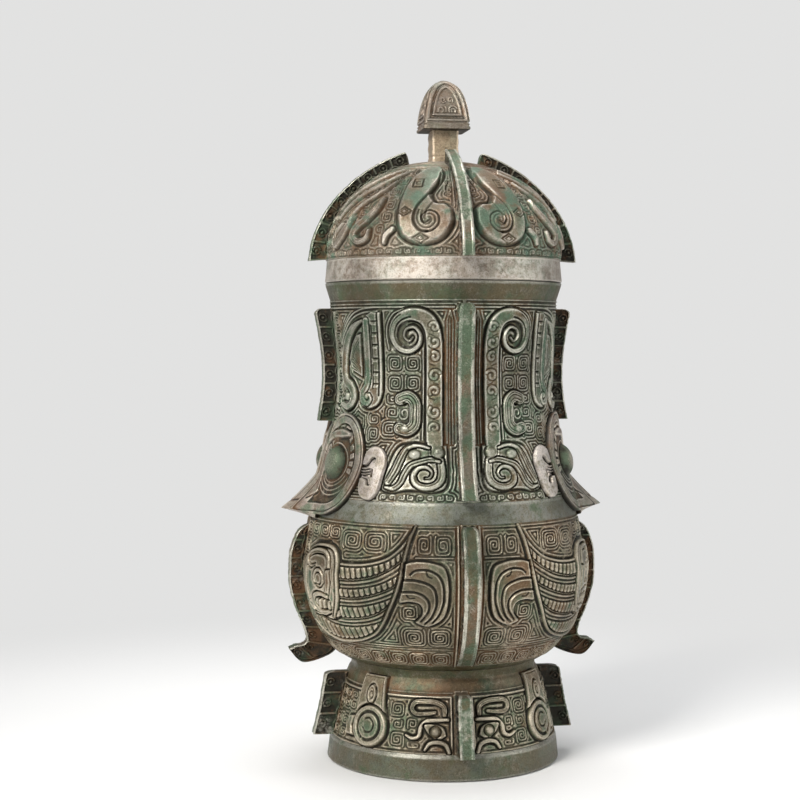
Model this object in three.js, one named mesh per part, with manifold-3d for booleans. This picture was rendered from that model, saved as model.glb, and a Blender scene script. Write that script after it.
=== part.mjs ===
import * as THREE from 'three';
import { mergeVertices } from 'three/addons/utils/BufferGeometryUtils.js';
import Module from 'manifold-3d';

// A lidded bronze wine vessel, round in section, in millimetres with +Z up.
// The front faces -Y. Four upright flanges stand at the front, back, left and right,
// and an owl faces each of +X and -X: two eye plates, a beak, wings and legs.
// The origin is the centre of the foot's bottom edge.

const wasm = await Module();
wasm.setup();

// Foot ring
const footHeight = 54;
const footBaseRadius = 62;
const footBandTopRadius = 60.6;
const footBandHeight = 12;
const footBandStep = 1.1;
const footPanelTopRadius = 52.2;
const footPanelTopHeight = 43;
const footWaistRadius = 49.2;
const footWaistHeight = 50;

// Belly and neck, heights measured up from the underside of the belly
const bellyBaseRadius = 50.5;
const bellyRadius = 75.3;
const bellyWidestHeight = 50;
const bellyFullness = 1.5;
const shoulderRadius = 71.2;
const shoulderHeight = 76;
const neckBaseRadius = 67.6;
const neckBaseHeight = 87;
const neckLowerRadius = 60.6;
const neckLowerHeight = 112.5;
const neckWaistRadius = 56.9;
const neckWaistHeight = 149;
const neckTopRadius = 60.1;
const neckTopHeight = 188.5;
const rimRadius = 63.1;
const rimLipHeight = 9.5;

const wall = 3.8;
const seatGap = 0.3;

// Lid
const lidRadius = 62.4;
const lidBandHeight = 11.2;
const lidShoulderHeight = 16;
const domeHeight = 47;
const domeFlatRadius = 11;
const domeFullness = 1.7;
const spigotDepth = 10;
const spigotClearance = 0.7;

// Knob
const knobPostWidth = 14.3;
const knobPostHeight = 16.9;
const knobCapWidth = 25.6;
const knobCapFrame = 3;
const knobCapLip = 0.4;
const knobCapHeight = 26.9;
const knobTipTaper = 0.42;

// Flanges: those at the left and right stop above the owls' faces
const neckFlangeThickness = 8.4;
const bellyFlangeThickness = 8.4;
const footFlangeThickness = 7.6;
const lidFlangeThickness = 6.4;
const neckFlangeBottom = 89;
const neckFlangeTopMargin = 2;
const neckFlangeProjection = 7.9;
const neckFlangeFlare = 1.9;
const sideFlangeBottomMargin = 1.5;
const sideFlangeTopMargin = 3.9;
const bellyFlangeBottom = 5;
const bellyFlangeTop = 75.6;
const bellyFlangeProjection = 8.6;
const bellySideFlangeTop = 71.2;
const tailHookReach = 12.5;
const tailHookDrop = 8;
const footFlangeBottom = 12.8;
const footFlangeTop = 43.4;
const footSideFlangeTop = 46.2;
const footFlangeProjection = 11;
const lidFlangeEndRadius = 18.5;
const lidFlangeMargin = 1;
const lidFlangeProjection = 5.4;
const lidFlangeFoot = 10.4;
const lidFlangeHead = 7.6;
const notchWidth = 1.1;
const notchDepth = 1;
const notchPitch = 9.4;

// Owl faces and feet
const eyeAngle = 68;
const eyeHeight = 104.3;
const eyeRadius = 26;
const eyeHalfWidth = 20.5;
const eyeThickness = 3;
const eyeGroove = 1.3;
const pupilRadius = 8;
const pupilRise = 4.2;
const beakLength = 16.7;
const beakHalfWidth = 20;
const beakRidge = 4.2;
const beakRidgeHalfWidth = 4.5;
const beakTipHeight = 79.5;
const beakUnderside = 4.2;
const beakSwell = 18.5;
const faceHeight = 44.5;
const earAngle = 42.6;
const earWidth = 13;
const earHeight = 28;
const earDrop = 3.4;
const earRise = 2.4;
const earStep = 1;
const legAngle = 51;
const legHeight = 25;
const legReach = 11;
const thighRadius = 11.5;
const legRise = 2.2;
const wingRise = 1.8;
const featherStep = 0.7;
const castRise = 1.6;
const lobeRise = 3;
const hornAngle = 18.1;
const hornRadius = 13.2;
const hornHeight = 31;
const hornRise = 4.2;
const hornTail = 25;
const hornCoil = 0.9;
const hornSeat = 1.2;
const padSeat = 0.36;

const turnSteps = 36;
const baseZ = footHeight + seatGap;
const rimZ = baseZ + neckTopHeight + rimLipHeight;
const lidZ = rimZ + seatGap;
const domeZ = lidZ + lidShoulderHeight;
const beakBottomHeight = beakTipHeight - beakUnderside;
const beakRootHeight = beakTipHeight + beakSwell;
const beakTopHeight = beakTipHeight + faceHeight;
const domeTopZ = domeZ + domeHeight;
const toRadians = Math.PI / 180;

function tidy(geometry) {
  const source = geometry.index ? geometry.toNonIndexed() : geometry;
  const bare = new THREE.BufferGeometry();
  bare.setAttribute('position', source.getAttribute('position'));
  const merged = mergeVertices(bare, 1e-4);
  const p = merged.getAttribute('position');
  const old = merged.index.array;
  const kept = [];
  let volume = 0;
  const a = new THREE.Vector3();
  const b = new THREE.Vector3();
  const c = new THREE.Vector3();
  for (let i = 0; i < old.length; i += 3) {
    const [i0, i1, i2] = [old[i], old[i + 1], old[i + 2]];
    if (i0 === i1 || i1 === i2 || i2 === i0) continue;
    a.fromBufferAttribute(p, i0);
    b.fromBufferAttribute(p, i1);
    c.fromBufferAttribute(p, i2);
    volume += a.dot(b.cross(c));
    kept.push(i0, i1, i2);
  }
  if (volume < 0) {
    for (let i = 0; i < kept.length; i += 3) {
      [kept[i + 1], kept[i + 2]] = [kept[i + 2], kept[i + 1]];
    }
  }
  merged.setIndex(kept);
  return merged;
}

function solid(geometry) {
  const g = tidy(geometry);
  return new wasm.Manifold(new wasm.Mesh({
    numProp: 3,
    vertProperties: new Float32Array(g.getAttribute('position').array),
    triVerts: new Uint32Array(g.index.array),
  }));
}

function surfaceOf(manifold) {
  const m = manifold.getMesh();
  const g = new THREE.BufferGeometry();
  g.setAttribute('position', new THREE.BufferAttribute(new Float32Array(m.vertProperties), 3));
  g.setIndex(Array.from(m.triVerts));
  return tidy(g);
}

function turned(profile) {
  const points = profile.map(([r, z]) => new THREE.Vector2(r, z));
  return new THREE.LatheGeometry(points, turnSteps).rotateX(Math.PI / 2);
}

// A skin is an outside profile that pads are laid on: place(a, v, h) turns by angle a,
// goes the distance v along the profile and stands h off it.
function skin(profile) {
  const along = [0];
  for (let i = 1; i < profile.length; i++) {
    const [r0, z0] = profile[i - 1];
    const [r1, z1] = profile[i];
    along.push(along[i - 1] + Math.hypot(r1 - r0, z1 - z0));
  }
  function at(v) {
    let i = 1;
    while (i < profile.length - 1 && along[i] < v) i++;
    const t = (v - along[i - 1]) / (along[i] - along[i - 1]);
    const [r0, z0] = profile[i - 1];
    const [r1, z1] = profile[i];
    const step = along[i] - along[i - 1];
    return {
      r: r0 + t * (r1 - r0),
      z: z0 + t * (z1 - z0),
      nr: (z1 - z0) / step,
      nz: -(r1 - r0) / step,
    };
  }
  function atHeight(z) {
    let i = 1;
    while (i < profile.length - 1 && profile[i][1] < z) i++;
    const t = (z - profile[i - 1][1]) / (profile[i][1] - profile[i - 1][1]);
    return along[i - 1] + t * (along[i] - along[i - 1]);
  }
  function radius(z) {
    return at(atHeight(z)).r;
  }
  function atRadius(r) {
    let i = profile.length - 1;
    while (i > 1 && profile[i - 1][0] < r) i--;
    const t = (r - profile[i - 1][0]) / (profile[i][0] - profile[i - 1][0]);
    return along[i - 1] + t * (along[i] - along[i - 1]);
  }
  function place(a, v, h) {
    const p = at(v);
    const r = p.r + h * p.nr;
    return new THREE.Vector3(r * Math.sin(a), -r * Math.cos(a), p.z + h * p.nz);
  }
  function stops(v0, v1) {
    return [v0, ...along.filter((v) => v > v0 + 0.5 && v < v1 - 0.5), v1];
  }
  return { at, atHeight, atRadius, radius, place, stops };
}

// A closed body between a seat side (side 0) and a face side (side 1) of a grid.
function gridBody(nu, nv, point) {
  const positions = [];
  const index = [];
  const id = (i, j, side) => side * (nu + 1) * (nv + 1) + j * (nu + 1) + i;
  for (let side = 0; side < 2; side++) {
    for (let j = 0; j <= nv; j++) {
      for (let i = 0; i <= nu; i++) positions.push(...point(i / nu, j / nv, side).toArray());
    }
  }
  const quad = (a, b, c, d) => index.push(a, b, c, a, c, d);
  for (let j = 0; j < nv; j++) {
    for (let i = 0; i < nu; i++) {
      quad(id(i, j, 1), id(i + 1, j, 1), id(i + 1, j + 1, 1), id(i, j + 1, 1));
      quad(id(i, j, 0), id(i, j + 1, 0), id(i + 1, j + 1, 0), id(i + 1, j, 0));
    }
  }
  for (let i = 0; i < nu; i++) {
    quad(id(i, 0, 0), id(i + 1, 0, 0), id(i + 1, 0, 1), id(i, 0, 1));
    quad(id(i, nv, 0), id(i, nv, 1), id(i + 1, nv, 1), id(i + 1, nv, 0));
  }
  for (let j = 0; j < nv; j++) {
    quad(id(0, j, 0), id(0, j, 1), id(0, j + 1, 1), id(0, j + 1, 0));
    quad(id(nu, j, 0), id(nu, j + 1, 0), id(nu, j + 1, 1), id(nu, j, 1));
  }
  return bodyFrom(positions, index);
}

// A closed round body of rings and spokes about a centre: point(k, t, side), with k the rings' shares
function roundBody(shares, spokes, point) {
  const positions = [];
  const index = [];
  const rings = shares.length;
  const id = (k, s, side) => side * (rings * spokes + 1) + (k ? 1 + (k - 1) * spokes + (s % spokes) : 0);
  for (let side = 0; side < 2; side++) {
    positions.push(...point(0, 0, side).toArray());
    for (const share of shares) {
      for (let s = 0; s < spokes; s++) {
        positions.push(...point(share, (2 * Math.PI * s) / spokes, side).toArray());
      }
    }
  }
  for (let s = 0; s < spokes; s++) {
    index.push(id(0, 0, 1), id(1, s, 1), id(1, s + 1, 1));
    index.push(id(0, 0, 0), id(1, s + 1, 0), id(1, s, 0));
    for (let k = 1; k < rings; k++) {
      index.push(id(k, s, 1), id(k + 1, s, 1), id(k + 1, s + 1, 1));
      index.push(id(k, s, 1), id(k + 1, s + 1, 1), id(k, s + 1, 1));
      index.push(id(k, s, 0), id(k + 1, s + 1, 0), id(k + 1, s, 0));
      index.push(id(k, s, 0), id(k, s + 1, 0), id(k + 1, s + 1, 0));
    }
    index.push(id(rings, s, 1), id(rings, s, 0), id(rings, s + 1, 0));
    index.push(id(rings, s, 1), id(rings, s + 1, 0), id(rings, s + 1, 1));
  }
  return bodyFrom(positions, index);
}

function bodyFrom(positions, index) {
  const g = new THREE.BufferGeometry();
  g.setAttribute('position', new THREE.Float32BufferAttribute(positions, 3));
  g.setIndex(index);
  return g;
}

// Outside profiles, from the bottom up
const footOutside = [
  [footBaseRadius, 0],
  [footBandTopRadius, footBandHeight],
  [footBandTopRadius - footBandStep, footBandHeight + 0.8],
];
const footCurve = new THREE.SplineCurve([
  new THREE.Vector2(footBandTopRadius - footBandStep, footBandHeight + 0.8),
  new THREE.Vector2(footPanelTopRadius, footPanelTopHeight),
  new THREE.Vector2(footWaistRadius, footWaistHeight),
  new THREE.Vector2(footWaistRadius + 0.8, footHeight),
]);
for (const p of footCurve.getPoints(6).slice(1)) footOutside.push([p.x, p.y]);

const bodyOutside = [];
const bellySteps = 8;
for (let i = 0; i <= bellySteps; i++) {
  const t = (i / bellySteps) ** 1.6;
  const full = (1 - (1 - t) ** 2) ** (1 / bellyFullness);
  bodyOutside.push([
    bellyBaseRadius + (bellyRadius - bellyBaseRadius) * full,
    baseZ + bellyWidestHeight * t,
  ]);
}
const neckCurve = new THREE.SplineCurve([
  new THREE.Vector2(bellyRadius, baseZ + bellyWidestHeight),
  new THREE.Vector2(shoulderRadius, baseZ + shoulderHeight),
  new THREE.Vector2(neckBaseRadius, baseZ + neckBaseHeight),
  new THREE.Vector2(neckLowerRadius, baseZ + neckLowerHeight),
  new THREE.Vector2(neckWaistRadius, baseZ + neckWaistHeight),
  new THREE.Vector2(neckTopRadius, baseZ + neckTopHeight),
]);
for (const p of neckCurve.getPoints(12).slice(1)) bodyOutside.push([p.x, p.y]);
bodyOutside.push([rimRadius, rimZ]);

const lidOutside = [
  [rimRadius, lidZ],
  [lidRadius - 0.4, lidZ + lidBandHeight],
  [lidRadius, domeZ],
];
const domeSteps = 8;
const domeRow = (i, radius, height) => {
  const t = Math.sin((i / domeSteps) * Math.PI / 2);
  return [domeFlatRadius + (radius - domeFlatRadius) * (1 - t * t) ** (1 / domeFullness), height * t];
};
for (let i = 1; i <= domeSteps; i++) {
  const [r, z] = domeRow(i, lidRadius, domeHeight);
  lidOutside.push([r, domeZ + z]);
}

const footSkin = skin(footOutside);
const bodySkin = skin(bodyOutside);
const lidSkin = skin(lidOutside);

const parts = new THREE.Group();
function add(name, geometry, colour, roughness = 0.5) {
  const material = new THREE.MeshStandardMaterial({ color: colour, roughness, metalness: 0.7 });
  const mesh = new THREE.Mesh(tidy(geometry), material);
  mesh.name = name;
  parts.add(mesh);
}
const patina = 0x5f6050;
const paleBronze = 0x8a8468;
const greenEdge = 0x6f8f78;

// Foot ring, open below
const footInside = footOutside.filter((p, i) => i % 2 === 0 || p[1] === footHeight)
  .map(([r, z]) => [r - wall, z]).reverse();
add('foot_ring', turned([...footOutside, ...footInside, footOutside[0]]), patina);

// Belly and neck in one shell, with the four wings raised on it
const insideZ = baseZ + wall;
const bodyInside = [[0, insideZ], [bodySkin.radius(insideZ) - wall, insideZ]];
bodyOutside.forEach(([r, z], i) => {
  if (z > insideZ + 1 && (i % 2 === 0 || z === rimZ)) bodyInside.push([r - wall, z]);
});
let shell = solid(turned([[0, baseZ], ...bodyOutside, ...bodyInside.reverse()]));
const envelope = solid(turned([
  [0, baseZ - 1],
  [bellyBaseRadius, baseZ - 1],
  ...bodyOutside.map(([r, z]) => [r + seatGap, z]),
  [0, rimZ],
]));

function wing(mirror, back) {
  const edge = (knots) => new THREE.SplineCurve(knots.map(([a, z]) => new THREE.Vector2(a, z)));
  const upper = edge([[21, 0.980], [26.5, 0.868], [32, 0.750], [42, 0.678], [56, 0.671]]);
  const lower = edge([[20, 0.961], [24.5, 0.750], [27, 0.592], [33, 0.382], [45, 0.230], [60, 0.191], [74, 0.237]]);
  return gridBody(6, 5, (s, t, side) => {
    const p = upper.getPoint(s).lerp(lower.getPoint(s), t);
    const a = (back ? 180 - p.x : p.x) * mirror * toRadians;
    const face = wingRise - (Math.round(t * 5) % 2 ? featherStep : 0);
    return bodySkin.place(a, bodySkin.atHeight(baseZ + shoulderHeight * p.y), side ? face : -1);
  });
}

// The main cast forms of a quarter. Each knot is the angle in degrees from the flange's middle,
// the height as a share of its zone and, in a band, half the band's width in degrees.
const neckZone = [neckBaseHeight, neckTopHeight];
const bellyZone = [0, shoulderHeight];
const tallBand = [[14.5, 0.31, 4.3], [14.5, 0.55, 4.3], [14.5, 0.77, 4.3], [17.5, 0.88, 4.3]];
const barredBand = [[50, 0.46, 6], [49.4, 0.52, 7.6], [48, 0.6, 6], [48, 0.93, 6]];
const archBand = [[56.6, 0.88, 2.4], [64.6, 0.84, 2.6], [70, 0.74, 2.9], [70.4, 0.63, 2.9], [63.4, 0.54, 2.7],
  [66, 0.47, 2.4]];
const beastSides = [[[7.6, 0.06], [35, 0.05]], [[7.6, 0.14], [35, 0.12]], [[7.8, 0.28], [30.6, 0.28]]];
const crescentSides = [[[8, 0.38], [25.4, 0.38]], [[8, 0.56], [24.6, 0.56]], [[8, 0.76], [20, 0.745]]];

function castPlace(mirror, back, zone, angle, share, h) {
  const a = (back ? 180 - angle : angle) * mirror * toRadians;
  const height = zone[0] + (zone[1] - zone[0]) * share;
  return bodySkin.place(a, bodySkin.atHeight(baseZ + height), h);
}
function castBand(knots, mirror, back) {
  const steps = knots.length - 1;
  return gridBody(steps, 1, (s, t, side) => {
    const k = Math.round(s * steps);
    const before = knots[Math.max(0, k - 1)];
    const after = knots[Math.min(steps, k + 1)];
    const [angle, share, half] = knots[k];
    const rise = (after[1] - before[1]) * 100;
    const run = after[0] - before[0];
    const size = Math.hypot(run, rise);
    const off = half * (2 * t - 1);
    return castPlace(mirror, back, neckZone, angle + (off * rise) / size, share - (off * run) / size / 100,
      side ? castRise : -1);
  });
}
function castPlate(sides, zone, mirror, back) {
  const steps = sides.length - 1;
  return gridBody(2, steps, (s, t, side) => {
    const [[a0, h0], [a1, h1]] = sides[Math.round(t * steps)];
    return castPlace(mirror, back, zone, a0 + (a1 - a0) * s, h0 + (h1 - h0) * s, side ? castRise * 0.85 : -1);
  });
}
function castDisc(angle, share, halfAngle, halfShare, rise, shares, dip, zone, mirror, back) {
  return roundBody(shares, 12, (k, t, side) => castPlace(mirror, back, zone, angle + halfAngle * k * Math.cos(t),
    share + halfShare * k * Math.sin(t), side ? rise * (k === dip ? 0.35 : 1) : -1));
}
for (const back of [false, true]) {
  for (const mirror of [-1, 1]) {
    const cast = [
      wing(mirror, back),
      castBand(tallBand, mirror, back),
      castBand(barredBand, mirror, back),
      castBand(archBand, mirror, back),
      castPlate(beastSides, neckZone, mirror, back),
      castPlate(crescentSides, bellyZone, mirror, back),
      castDisc(26, 0.835, 9.4, 0.095, castRise, [0.3, 0.6, 1], 0.6, neckZone, mirror, back),
      castDisc(67.5, 0.62, 13, 0.25, lobeRise, [0.55, 1], 0.55, bellyZone, mirror, back),
    ];
    for (const form of cast) shell = shell.add(solid(form));
  }
}
add('vessel_body', surfaceOf(shell), patina);

// Flanges: an outline in the plane of the axis, as thick as the flange, turned to its side
function flange(outline, thickness, angle) {
  const shape = new THREE.Shape(outline.map(([r, z]) => new THREE.Vector2(r, z)));
  const g = new THREE.ExtrudeGeometry(shape, { depth: thickness, bevelEnabled: false });
  g.translate(0, 0, -thickness / 2);
  return g.rotateX(Math.PI / 2).rotateZ((angle - 90) * toRadians);
}
function notched(knots, steps, plain) {
  const curve = new THREE.SplineCurve(knots.map(([r, z]) => new THREE.Vector2(r, z)));
  const length = curve.getLength();
  const count = plain ? 1 : Math.max(1, Math.floor(length / notchPitch));
  const cuts = [];
  for (let k = 1; k < count; k++) cuts.push((k / count) * length);
  const marks = [];
  for (let i = 0; i <= steps; i++) {
    const s = (i / steps) * length;
    if (cuts.every((c) => Math.abs(c - s) > notchWidth)) marks.push({ s, depth: 0 });
  }
  for (const c of cuts) {
    for (const [ds, depth] of [[-0.5, 0], [-0.499, notchDepth], [0.499, notchDepth], [0.5, 0]]) {
      marks.push({ s: c + ds * notchWidth, depth });
    }
  }
  marks.sort((m, n) => m.s - n.s);
  return marks.map(({ s, depth }) => {
    const p = curve.getPointAt(s / length);
    const t = curve.getTangentAt(s / length);
    return [p.x + t.y * depth * -1, p.y + t.x * depth];
  });
}
// The seat edge lies a gap off the skin, from the distance v0 to v1 along it.
function edgeAlong(onSkin, v0, v1) {
  return onSkin.stops(v0, v1).map((v) => {
    const p = onSkin.at(v);
    return [p.r + seatGap * p.nr + 0.05, p.z + seatGap * p.nz];
  });
}
// The outer edge runs up; the seat edge closes it downward.
function flangeOutline(onSkin, v0, v1, outer, plain, steps = 9, below = []) {
  return [...below, ...notched(outer, steps, plain), ...edgeAlong(onSkin, v0, v1).reverse()];
}

const sides = [['front', 0], ['right', 90], ['back', 180], ['left', 270]];
for (const [side, angle] of sides) {
  const owl = angle % 180 === 90;
  const off = (onSkin, z, d) => [onSkin.radius(z) + d, z];
  const between = (onSkin, z0, z1) => [onSkin.atHeight(z0), onSkin.atHeight(z1)];

  const neck0 = baseZ + (owl ? beakTopHeight + sideFlangeBottomMargin : neckFlangeBottom);
  const neck1 = baseZ + neckTopHeight - (owl ? sideFlangeTopMargin : neckFlangeTopMargin);
  const p = neckFlangeProjection;
  const neckEdge = [off(bodySkin, neck0, p + neckFlangeFlare * 0.8), off(bodySkin, (neck0 + neck1) / 2, p),
    off(bodySkin, neck1, p + neckFlangeFlare)];
  const neckOutline = flangeOutline(bodySkin, ...between(bodySkin, neck0, neck1), neckEdge, !owl);
  add(`neck_flange_${side}`, flange(neckOutline, neckFlangeThickness, angle), greenEdge);

  const q = bellyFlangeProjection;
  const belly0 = baseZ + bellyFlangeBottom;
  const belly1 = baseZ + (owl ? bellySideFlangeTop : bellyFlangeTop);
  const bellyEdge = owl
    ? [off(bodySkin, belly0 + 4.6, q + 2), off(bodySkin, belly0 + 12, q), off(bodySkin, belly0 + 30, q),
      off(bodySkin, belly1 - 20, q * 0.9), off(bodySkin, belly1 - 6, q * 0.6),
      off(bodySkin, belly1, q * 0.25)]
    : [off(bodySkin, belly0, q * 0.55), off(bodySkin, baseZ + 20, q), off(bodySkin, baseZ + 58, q),
      off(bodySkin, belly1, q * 0.6)];
  const bellyOutline = flangeOutline(bodySkin, ...between(bodySkin, belly0, belly1), bellyEdge, !owl,
    owl ? 16 : 9, owl ? tailHook(bellyEdge[0], belly0) : []);
  add(`belly_flange_${side}`, flange(bellyOutline, bellyFlangeThickness, angle), greenEdge);

  const foot0 = footFlangeBottom;
  const foot1 = owl ? footSideFlangeTop : footFlangeTop;
  const f = footFlangeProjection;
  const footEdge = [off(footSkin, foot0, f + 0.4), off(footSkin, (foot0 + foot1) / 2, f),
    off(footSkin, foot1, f + 1.6)];
  const footOutline = flangeOutline(footSkin, ...between(footSkin, foot0, foot1), footEdge, !owl);
  add(`foot_flange_${side}`, flange(footOutline, footFlangeThickness, angle), greenEdge);

  // On the lid the outer edge starts tall, dips and rises to an upright end near the knob.
  const start = lidSkin.atHeight(lidZ + lidBandHeight + lidFlangeMargin);
  const lidEdge = [];
  const lidRows = 8;
  const stop = lidSkin.atRadius(lidFlangeEndRadius);
  for (let i = 0; i <= lidRows; i++) {
    const t = i / lidRows;
    const s = lidSkin.at(start + (stop - start) * t);
    const d = lidFlangeProjection + (lidFlangeFoot - lidFlangeProjection) * (1 - t) ** 4
      + (lidFlangeHead - lidFlangeProjection) * t ** 4;
    lidEdge.push([s.r + d * s.nr, s.z + d * s.nz]);
  }
  const lidOutline = flangeOutline(lidSkin, start, stop, lidEdge, !owl, 14);
  add(`lid_flange_${side}`, flange(lidOutline, lidFlangeThickness, angle), greenEdge);
}

// The foot of a side flange turns outward in a pointed hook, listed from its seat to the flange
function tailHook([edgeRadius], height) {
  const seat = bodySkin.radius(height);
  const tip = seat + tailHookReach * 2;
  return [
    [seat + 3.2, height - tailHookDrop * 0.45],
    [seat + tailHookReach * 0.65, height - tailHookDrop * 0.92],
    [seat + tailHookReach * 1.3, height - tailHookDrop],
    [tip - 3.5, height - tailHookDrop * 0.55],
    [tip, height - 0.8],
    [tip - 0.6, height + 1],
    [edgeRadius + 2.6, height + 2.4],
    [edgeRadius + 0.4, height + 3.4],
  ];
}

// Beaks: a ridge between two eyes that swells over the shoulder into a pointed beak
function beakReach(height) {
  const swell = Math.min(1, Math.max(0, (beakRootHeight - height) / (beakRootHeight - beakTipHeight)));
  const under = Math.max(0, (beakTipHeight - height) / (beakTipHeight - beakBottomHeight));
  const fade = Math.min(1, (beakTopHeight - height) / beakLength);
  return {
    half: beakRidgeHalfWidth + (beakHalfWidth - beakRidgeHalfWidth) * swell ** 0.9,
    nose: (beakRidge * Math.sqrt(fade) + (beakLength - beakRidge) * swell ** 1.25) * (1 - under),
  };
}
function beak(sign, grow) {
  const heights = [];
  const upper = 9;
  for (let i = 0; i <= upper; i++) {
    heights.push(beakTopHeight + (beakTipHeight - beakTopHeight) * (i / upper) ** 0.8);
  }
  heights.push((beakTipHeight + beakBottomHeight) / 2, beakBottomHeight);
  const around = 9;
  const positions = [];
  const index = [];
  for (const height of heights) {
    const { half, nose } = beakReach(height);
    const middle = (beakTopHeight + beakBottomHeight) / 2;
    const z = baseZ + height + grow * Math.sign(height - middle);
    const r = bodySkin.radius(baseZ + height);
    const side = Math.min(nose, eyeThickness * 0.9);
    for (let j = 0; j < around; j++) {
      const f = 1 - (2 * j) / (around - 1);
      const y = (half + grow) * f;
      const x = Math.sqrt(r * r - y * y) + side + (nose - side) * (1 - Math.abs(f) ** 1.3) + grow;
      positions.push(sign * x, y, z);
    }
    const inside = Math.sqrt(r * r - half * half) - wall;
    for (const back of [-1, 1]) positions.push(sign * inside, back * (half + grow), z);
  }
  const ringSize = around + 2;
  const id = (k, s) => k * ringSize + (s % ringSize);
  for (let k = 0; k + 1 < heights.length; k++) {
    for (let s = 0; s < ringSize; s++) {
      index.push(id(k, s), id(k, s + 1), id(k + 1, s + 1));
      index.push(id(k, s), id(k + 1, s + 1), id(k + 1, s));
    }
  }
  const last = heights.length - 1;
  const centre = positions.length / 3;
  for (const height of [heights[0] + grow, heights[last] - grow]) {
    positions.push(sign * (bodySkin.radius(baseZ + height) - wall * 0.7), 0, baseZ + height);
  }
  for (let s = 0; s < ringSize; s++) {
    index.push(centre, id(0, s + 1), id(0, s));
    index.push(centre + 1, id(last, s), id(last, s + 1));
  }
  return solid(bodyFrom(positions, index));
}

// Eye plates: a dished disc with a raised ring, a raised rim and a domed pupil
function eyePlate(mirror, back) {
  const centre = (back ? 180 - eyeAngle : eyeAngle) * mirror * toRadians;
  const toBeak = back ? -1 : 1;
  const v0 = bodySkin.atHeight(baseZ + eyeHeight);
  const r0 = bodySkin.at(v0).r;
  const edge = pupilRadius / eyeRadius;
  const dips = [edge + 0.05, 0.82];
  return roundBody([edge * 0.55, edge, dips[0], dips[1], 1], 18, (k, t, side) => {
    const u = eyeHalfWidth * k * Math.cos(t) * mirror * toBeak;
    const v = eyeRadius * k * Math.sin(t);
    let h = eyeThickness - (dips.includes(k) ? eyeGroove : 0);
    if (k < edge) h = eyeThickness + pupilRise * Math.sqrt(1 - (k / edge) ** 2);
    return bodySkin.place(centre + u / r0, v0 + v, side ? h : padSeat);
  });
}

// Small smooth pads with a step across the middle, beside the eyes
function ear(mirror, back) {
  const centre = (back ? 180 - earAngle : earAngle) * mirror * toRadians;
  const v0 = bodySkin.atHeight(baseZ + eyeHeight - earDrop);
  const r0 = bodySkin.at(v0).r;
  return gridBody(4, 6, (s, t, side) => {
    const round = Math.sqrt(1 - (2 * t - 1) ** 4 * 0.75);
    const u = (s - 0.5) * earWidth * round;
    const crown = earRise * (1 - 0.35 * (2 * s - 1) ** 2) - (Math.abs(t - 0.5) < 0.1 ? earStep : 0);
    return bodySkin.place(centre + u / r0, v0 + (t - 0.5) * earHeight, side ? crown : padSeat);
  });
}

// Owl legs on the foot: a coiled thigh that runs up and outward to the belly
function leg(mirror, back) {
  const centre = (back ? 180 - legAngle : legAngle) * mirror * toRadians;
  const outward = back ? -1 : 1;
  const v0 = footSkin.atHeight(legHeight);
  const r0 = footSkin.at(v0).r;
  return roundBody([0.3, 0.55, 1], 14, (k, t, side) => {
    const rise = Math.max(0, Math.cos(t - 1.3)) ** 4;
    const reach = (thighRadius + legReach * rise) * k;
    const u = reach * Math.cos(t) * mirror * outward;
    const h = legRise * (k === 0.55 ? 0.55 : 1);
    return footSkin.place(centre + u / r0, v0 + reach * Math.sin(t), side ? h : padSeat);
  });
}

// Coiled horns on the lid beside the front and back flanges, like commas: each knot is an angle
// round the horn and the share of the tail's length that it reaches there
const hornTailShape = [[-2, 0.06], [34, 0.22], [56, 0.5], [72, 0.8], [86, 1], [98, 1.04], [106, 0.88], [110, 0.39],
  [114, 0.03]];
function hornTailAt(t) {
  const angle = (t / toRadians + 180) % 360 - 180;
  for (let i = 1; i < hornTailShape.length; i++) {
    const [a0, s0] = hornTailShape[i - 1];
    const [a1, s1] = hornTailShape[i];
    if (angle >= a0 && angle <= a1) return s0 + (s1 - s0) * (angle - a0) / (a1 - a0);
  }
  return 0;
}
function horn(mirror, back) {
  const centre = (back ? 180 - hornAngle : hornAngle) * mirror * toRadians;
  const outward = back ? -1 : 1;
  const v0 = lidSkin.atHeight(lidZ + hornHeight);
  const r0 = lidSkin.at(v0).r;
  return roundBody([0.34, 0.68, 1], 22, (k, t, side) => {
    const reach = (hornRadius + hornTail * hornTailAt(t)) * k;
    const u = reach * Math.cos(t) * mirror * outward;
    const h = hornRise * (1 - 0.3 * k ** 2) - (k === 0.34 ? hornCoil : 0);
    const seat = hornSeat * (1 + 0.6 * hornTailAt(t));
    return lidSkin.place(centre + u / r0, v0 + reach * Math.sin(t), side ? h : seat);
  });
}

for (const [end, back] of [['front', false], ['back', true]]) {
  for (const [hand, mirror] of [['left', -1], ['right', 1]]) {
    const clear = beak(mirror, 2 * seatGap);
    const plate = solid(eyePlate(mirror, back)).subtract(clear);
    add(`eye_plate_${end}_${hand}`, surfaceOf(plate), paleBronze);
    add(`ear_pad_${end}_${hand}`, ear(mirror, back), paleBronze);
    add(`owl_leg_${end}_${hand}`, leg(mirror, back), patina);
    add(`coiled_horn_${end}_${hand}`, horn(mirror, back), patina);
  }
}
for (const [hand, sign] of [['left', -1], ['right', 1]]) {
  add(`beak_${hand}`, surfaceOf(beak(sign, 0).subtract(envelope)), paleBronze);
}

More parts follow.
